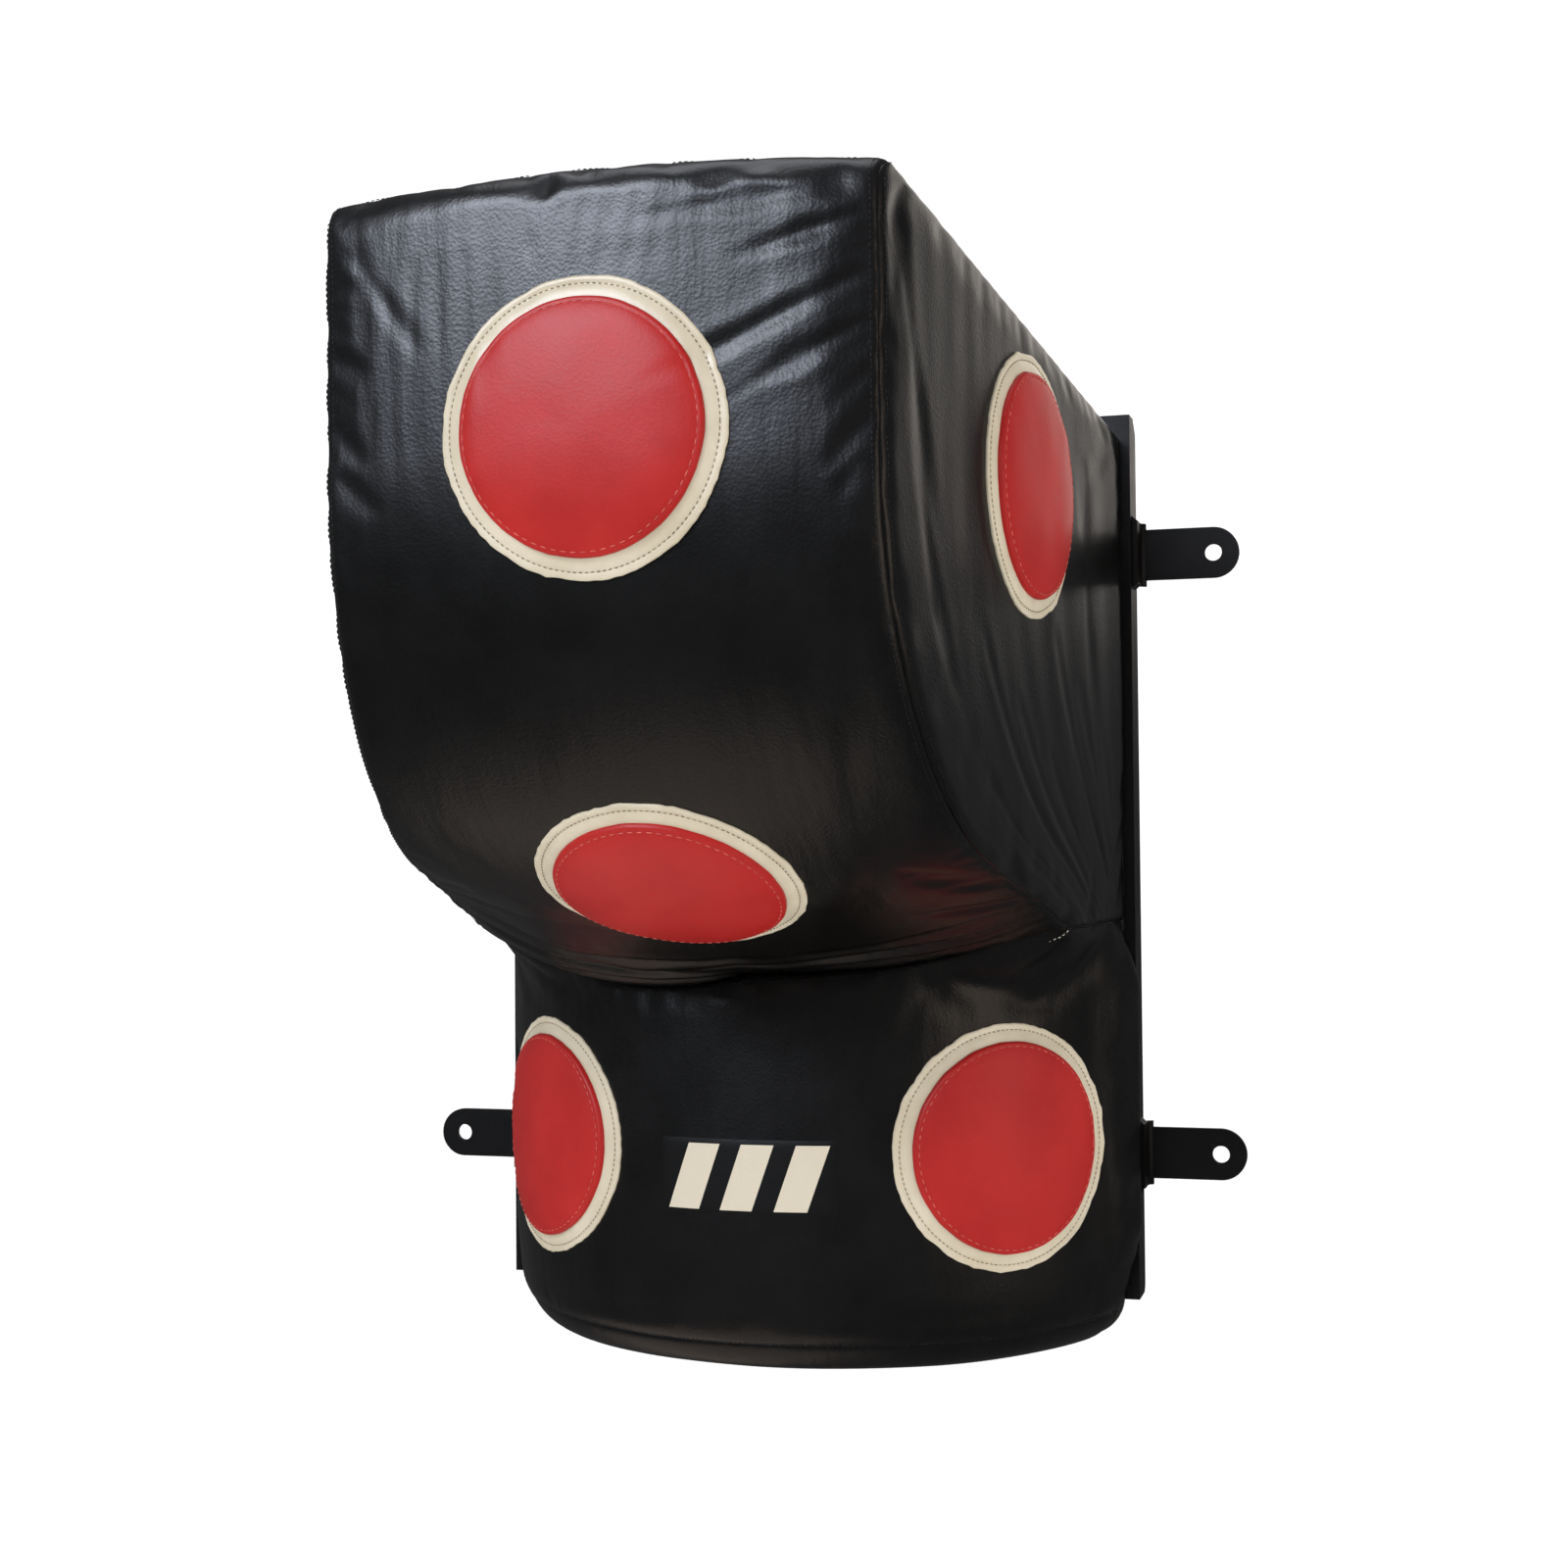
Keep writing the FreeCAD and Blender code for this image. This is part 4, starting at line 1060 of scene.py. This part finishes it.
@dataclass
class Target:
    """A round target: a cream disc sewn to the cover and a padded red disc sewn on it."""

    name: str
    panel: Panel
    centre: Vector
    normal: Vector
    cream: bpy.types.Material
    red: bpy.types.Material
    cream_thread: bpy.types.Material
    red_thread: bpy.types.Material
    ring_seam: float = 96.5 * MM
    pad_seam: float = 83.4 * MM
    lift: float = 80 * MM
    steps: int = 128

    def frame_axes(self) -> tuple[Vector, Vector]:
        """Two directions square to the target's normal: across, then upwards."""
        across = Vector((0, 0, 1)).cross(self.normal).normalized()
        return across, self.normal.cross(across).normalized()

    def lay(self, p: float, q: float) -> tuple[Vector, Vector]:
        """Finds the cover under a place in the target's plane.

        Args:
            p: distance from the centre across.
            q: distance from the centre upwards.

        Returns:
            The cover's point and its normal, smoothed towards the target's own.
        """
        across, up = self.frame_axes()
        start = self.centre + across * p + up * q + self.normal * self.lift
        spot, normal, _, _ = self.panel.tree.ray_cast(start, -self.normal, 0.3)
        if spot is None:
            spot, normal, _, _ = self.panel.tree.find_nearest(start - self.normal * self.lift)
        return spot, (normal + self.normal * 1.5).normalized()

    def turned(self, profile: list[tuple[float, float]], wave: float) -> bmesh.types.BMesh:
        """Spins a profile of radius and height, then lays it on the cover.

        Args:
            profile: radius and height pairs, from the middle outwards.
            wave: how far the cut edge wanders, in metres.

        Returns:
            The laid mesh.
        """
        shape = bmesh.new()
        line = [shape.verts.new((r, 0, h)) for r, h in profile]
        edges = [shape.edges.new(pair) for pair in zip(line, line[1:])]
        bmesh.ops.spin(shape, geom=line + edges, cent=(0, 0, 0), axis=(0, 0, 1), angle=2 * math.pi,
                       steps=self.steps, use_merge=True, use_duplicate=False)
        bmesh.ops.remove_doubles(shape, verts=shape.verts, dist=1e-5)
        bmesh.ops.recalc_face_normals(shape, faces=shape.faces)
        shape.normal_update()
        seed = sum(ord(c) for c in self.name) * 0.37
        reach = max(r for r, _ in profile)
        for vertex in shape.verts:
            radius = math.hypot(vertex.co.x, vertex.co.y)
            angle = math.atan2(vertex.co.y, vertex.co.x)
            wander = noise.noise(Vector((math.cos(angle) * 5, math.sin(angle) * 5, seed)))
            wander += 0.8 * noise.noise(Vector((math.cos(angle) * 19, math.sin(angle) * 19, seed)))
            outer = max(0.0, radius / reach - 0.85) / 0.15
            scale = 1 + wander * wave * outer / max(radius, 1e-4)
            spot, normal = self.lay(vertex.co.x * scale, vertex.co.y * scale)
            soft = 0.5 * MM * noise.noise(Vector((vertex.co.x * 30, vertex.co.y * 30, seed)))
            vertex.co = spot + normal * (vertex.co.z + (soft if vertex.co.z > 4 * MM else 0))
        return shape

    def ring(self, radius: float, height: float, count: int = 360) -> list[tuple[Vector, Vector]]:
        """A closed path round the target.

        Args:
            radius: its radius.
            height: its height over the cover.
            count: how many steps it is cut into.

        Returns:
            Points with their normals.
        """
        path = []
        for n in range(count + 1):
            angle = 2 * math.pi * n / count
            spot, normal = self.lay(radius * math.cos(angle), radius * math.sin(angle))
            path.append((spot + normal * height, normal))
        return path

    def build(self) -> None:
        """Builds the disc, the pad and both rings of stitches."""
        base = [(0.0, 1.6), (70, 3.2), (82, 4.2), (87, 4.3), (90, 4.0), (93.5, 3.1), (95.6, 2.2), (96.5, 1.7),
                (97.4, 2.1), (99.5, 2.5), (101.2, 2.3), (102, 1.7), (102, 0.6), (101, -1.2)]
        pad = [(0.0, 14.4), (14, 14.3), (30, 14.0), (46, 13.4), (58, 12.7), (68, 11.8), (75, 10.9),
               (79.5, 10.0), (82, 9.3), (83.4, 8.7), (84.6, 8.9), (86, 8.5), (87, 7.2), (87.4, 5.4),
               (87.2, 3.6), (86, 2.2)]
        disc = self.turned([(r * MM, h * MM) for r, h in base], 1.3 * MM)
        finish_piece(self.name + "_disc", disc, self.cream, (self.name + "_base",))
        puck = self.turned([(r * MM, h * MM) for r, h in pad], 0.5 * MM)
        piece = finish_piece(self.name + "_pad", puck, self.red, (self.name + "_skin", self.name + "_foam"))
        smooth = piece.modifiers.new("Smooth", "SUBSURF")
        smooth.levels = smooth.render_levels = 1
        ring = bmesh.new()
        StitchRow(4.3 * MM, 2.9 * MM, 0.5 * MM, 0.0).add(ring, self.ring(self.ring_seam, 2.0 * MM))
        finish_piece(self.name + "_disc_stitches", ring, self.cream_thread, ())
        seam = bmesh.new()
        StitchRow(7.2 * MM, 4.6 * MM, 0.5 * MM, 0.0).add(seam, self.ring(self.pad_seam, 9.0 * MM))
        finish_piece(self.name + "_pad_stitches", seam, self.red_thread, ())


@dataclass
class TargetSet:
    """The six targets and where they sit: their heights, depth and turns."""

    form: BagForm
    cover: Cover
    cream: bpy.types.Material
    red: bpy.types.Material
    cream_thread: bpy.types.Material
    red_thread: bpy.types.Material
    front_z: float = 290 * MM
    side_y: float = -300 * MM
    side_z: float = 284 * MM
    lower_z: float = -241 * MM
    belly_turn: float = math.radians(60)
    lower_turn: float = math.radians(41.5)

    def places(self) -> list[tuple[str, str, Vector, Vector]]:
        """Works out where the targets sit.

        Returns:
            Name, panel, centre and normal of each target.
        """
        form = self.form
        belly = Vector((0, -math.cos(self.belly_turn), -math.sin(self.belly_turn)))
        arc = form.middle
        belly_centre = Vector((0, arc.front + arc.radius, arc.arc_start)) + belly * arc.radius
        found = [
            ("front_target", "front", Vector((0, arc.front, self.front_z)), Vector((0, -1, 0))),
            ("belly_target", "front", belly_centre, belly),
        ]
        flare = (form.back_half - form.front_half) / (form.back - form.front)
        for side in Side:
            name = side.name.lower()
            centre = Vector((side.value * form.half(self.side_y), self.side_y, self.side_z))
            normal = Vector((side.value, -flare, 0)).normalized()
            found.append(("side_target_" + name, "side_" + name, centre, normal))
            normal = Vector((side.value * math.sin(self.lower_turn), -math.cos(self.lower_turn), 0))
            centre = Vector((0, form.pillar_centre, self.lower_z)) + normal * form.pillar_radius
            found.append(("lower_target_" + name, "lower", centre, normal))
        return found

    def build(self) -> None:
        """Builds each target on its panel."""
        for name, key, centre, normal in self.places():
            Target(name, self.cover.panels[key], centre, normal, self.cream, self.red, self.cream_thread,
                   self.red_thread).build()


@dataclass
class Label:
    """The plain printed patch on the lower wrap."""

    panel: Panel
    finish: bpy.types.Material
    width: float = 150 * MM
    height: float = 62 * MM
    centre_z: float = LABEL_Z

    def build(self) -> None:
        """Lays a thin rounded patch on the wrap."""
        shape = bmesh.new()
        bmesh.ops.create_grid(shape, x_segments=40, y_segments=18, size=0.5, calc_uvs=True)
        for vertex in shape.verts:
            x, z = vertex.co.x * self.width, self.centre_z + vertex.co.y * self.height
            spot, normal, _, _ = self.panel.tree.ray_cast(Vector((x, -0.6, z)), Vector((0, 1, 0)))
            edge = min(0.5 - abs(vertex.co.x), 0.5 - abs(vertex.co.y))
            vertex.co = spot + normal * (0.1 * MM if edge < 1e-4 else 0.6 * MM)
        bmesh.ops.recalc_face_normals(shape, faces=shape.faces)
        finish_piece("label", shape, self.finish, ("label_patch",))


# ---------------------------------------------------------------- steel, board and fasteners


@dataclass
class Hardware:
    """The CAD pieces that keep their shape: frame, board, hem and fasteners."""

    enamel: bpy.types.Material
    zinc: bpy.types.Material
    plywood: bpy.types.Material
    backing: bpy.types.Material
    edge: float = 0.7 * MM

    def dress(self, node: str, material: bpy.types.Material, edge: float) -> None:
        """Gives a CAD node its finish and softens its edges.

        Args:
            node: the CAD node.
            material: the finish.
            edge: the width of the softened edges, or 0 for none.
        """
        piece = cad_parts[node]
        piece.data.materials.clear()
        piece.data.materials.append(material)
        if edge:
            weld = piece.modifiers.new("Weld", "WELD")
            weld.merge_threshold = 0.01 * MM
            soft = piece.modifiers.new("Edges", "BEVEL")
            soft.width = edge
            soft.segments = 2
            soft.limit_method = "ANGLE"
            soft.angle_limit = math.radians(40)
        LOG.info("%s dressed", node)

    def build(self) -> None:
        """Dresses every node that is shown as it is."""
        steel = ["upright_left", "upright_right", "rail_top", "rail_middle", "rail_bottom"]
        steel += [f"wall_ear_{level}_{side}" for level in ("top", "bottom") for side in ("left", "right")]
        for node in steel:
            self.dress(node, self.enamel, self.edge)
        self.dress("ear_welds", self.enamel, 0.0)
        for node in ("board_bolts", "board_washers", "board_nuts", "hem_staples"):
            self.dress(node, self.zinc, 0.0)
        self.dress("back_board", self.plywood, 0.0)
        self.dress("cover_hem", self.backing, 0.0)


# ---------------------------------------------------------------- studio


@dataclass
class Studio:
    """Floor, soft lights and the camera."""

    eye: tuple[float, float, float] = (0.5444, -2.0164, 0.0096)
    yaw: float = 0.281
    pitch: float = 0.027
    roll: float = -0.008
    lens: float = 51.73

    def floor(self) -> None:
        """A wide pale floor that curves up all round."""
        shape = bmesh.new()
        profile = [(0.0, -1.35), (5.0, -1.35), (6.2, -1.1), (7.0, -0.5), (7.4, 0.6), (7.5, 6.0)]
        line = [shape.verts.new((r, 0, z)) for r, z in profile]
        edges = [shape.edges.new(pair) for pair in zip(line, line[1:])]
        bmesh.ops.spin(shape, geom=line + edges, cent=(0, 0, 0), axis=(0, 0, 1), angle=2 * math.pi, steps=64,
                       use_merge=True, use_duplicate=False)
        bmesh.ops.remove_doubles(shape, verts=shape.verts, dist=1e-4)
        mesh = bpy.data.meshes.new("floor")
        shape.to_mesh(mesh)
        shape.free()
        mesh.shade_smooth()
        floor = bpy.data.objects.new("floor", mesh)
        bpy.context.scene.collection.objects.link(floor)
        material, tree = new_material("pale_backdrop")
        skin = put(tree, "BsdfPrincipled", {"Base Color": linear("#F7F7F6"), "Roughness": 0.9,
                                            "Emission Color": linear("#FFFFFF"), "Emission Strength": 0.42})
        put(tree, "OutputMaterial", None, {"Surface": skin.outputs["BSDF"]})
        mesh.materials.append(material)
        floor.visible_glossy = False

    def light(self, name: str, place: tuple[float, float, float], size: tuple[float, float], power: float,
              colour: str) -> bpy.types.Object:
        """Adds a soft box that points at the bag.

        Args:
            name: the light's name.
            place: where it stands, in metres.
            size: its width and height.
            power: watts.
            colour: its sRGB hex colour.

        Returns:
            The lamp.
        """
        data = bpy.data.lights.new(name, "AREA")
        data.shape = "RECTANGLE"
        data.size, data.size_y = size
        data.energy = power
        data.color = linear(colour)[:3]
        lamp = bpy.data.objects.new(name, data)
        lamp.location = place
        lamp.rotation_euler = (Vector((0, -0.25, 0.05)) - Vector(place)).to_track_quat("-Z", "Y").to_euler()
        bpy.context.scene.collection.objects.link(lamp)
        return lamp

    def camera(self) -> None:
        """Sets the camera by its yaw, pitch and roll."""
        level = math.cos(self.pitch)
        forward = Vector((-math.sin(self.yaw) * level, math.cos(self.yaw) * level, math.sin(self.pitch)))
        right = Vector((math.cos(self.yaw), math.sin(self.yaw), 0))
        up = right.cross(forward)
        turned = right * math.cos(self.roll) + up * math.sin(self.roll)
        upright = up * math.cos(self.roll) - right * math.sin(self.roll)
        data = bpy.data.cameras.new("camera")
        data.lens = self.lens
        data.sensor_width = 36.0
        data.clip_end = 60
        camera = bpy.data.objects.new("camera", data)
        aim = Matrix((turned, upright, -forward)).transposed().to_4x4()
        camera.matrix_world = Matrix.Translation(self.eye) @ aim
        bpy.context.scene.collection.objects.link(camera)
        bpy.context.scene.camera = camera

    def build(self) -> None:
        """Builds the studio."""
        self.floor()
        self.light("key", (-0.95, -2.5, 1.7), (1.1, 0.7), 32, "#EEF3FF")
        self.light("fill", (2.6, -1.2, 0.1), (1.2, 1.6), 9, "#FFE9D4")
        self.light("top", (0.0, -0.3, 2.4), (1.8, 1.4), 16, "#F6F8FF")
        self.light("back", (0.6, 2.4, 1.2), (1.6, 1.4), 11, "#FFF6EC")
        for lamp in (self.light("sheen", (-0.85, -2.7, 1.32), (1.9, 0.42), 47, "#E4EDFF"),
                     self.light("low_sheen", (-0.4, -0.5, -1.25), (1.5, 0.9), 2.5, "#FFE8D6")):
            lamp.visible_diffuse = False
        world = bpy.data.worlds.new("world")
        world.use_nodes = True
        world.node_tree.nodes["Background"].inputs["Color"].default_value = linear("#F4F5F7")
        world.node_tree.nodes["Background"].inputs["Strength"].default_value = 0.1
        bpy.context.scene.world = world
        bpy.context.scene.view_settings.view_transform = "Standard"
        self.camera()


def main() -> None:
    """Builds the bag, dresses the frame and sets the studio."""
    logging.basicConfig(level=logging.INFO, format="%(message)s")
    black = CoatedFabric("black_artificial_leather", "#060606", "#0C0C0D", 0.34, slack=17 * MM,
                         slack_depth=1.3 * MM, pull=(1.0, 0.3, 0.16)).build()
    red = CoatedFabric("red_artificial_leather", "#A61614", "#B31C19", 0.42, 2.2 * MM, 0.1 * MM, 40 * MM,
                       0.3 * MM, shine=0.28).build()
    cream = CoatedFabric("cream_artificial_leather", "#C4B9A0", "#D5CBB5", 0.34, 2.2 * MM, 0.08 * MM,
                         12 * MM, 0.4 * MM).build()
    form = BagForm()
    cover = Cover(form, black, Thread("black_thread", "#1C1C1E", "#101011").build(),
                  Thread("pale_thread", "#CFC9BA", "#A9A294").build())
    cover.build()
    TargetSet(form, cover, cream, red, Thread("tan_thread", "#9B8C6C", "#6E624A").build(),
              Thread("rose_thread", "#D9685C", "#B8453C").build()).build()
    Label(cover.panels["lower"], PrintedPatch().build()).build()
    Hardware(BrushedEnamel("black_enamel", "#0B0B0C", "#2A2A29", 0.42).build(), ZincPlate().build(),
             Plywood().build(), KnitBacking().build()).build()
    Studio().build()


if __name__ == "__main__":
    main()
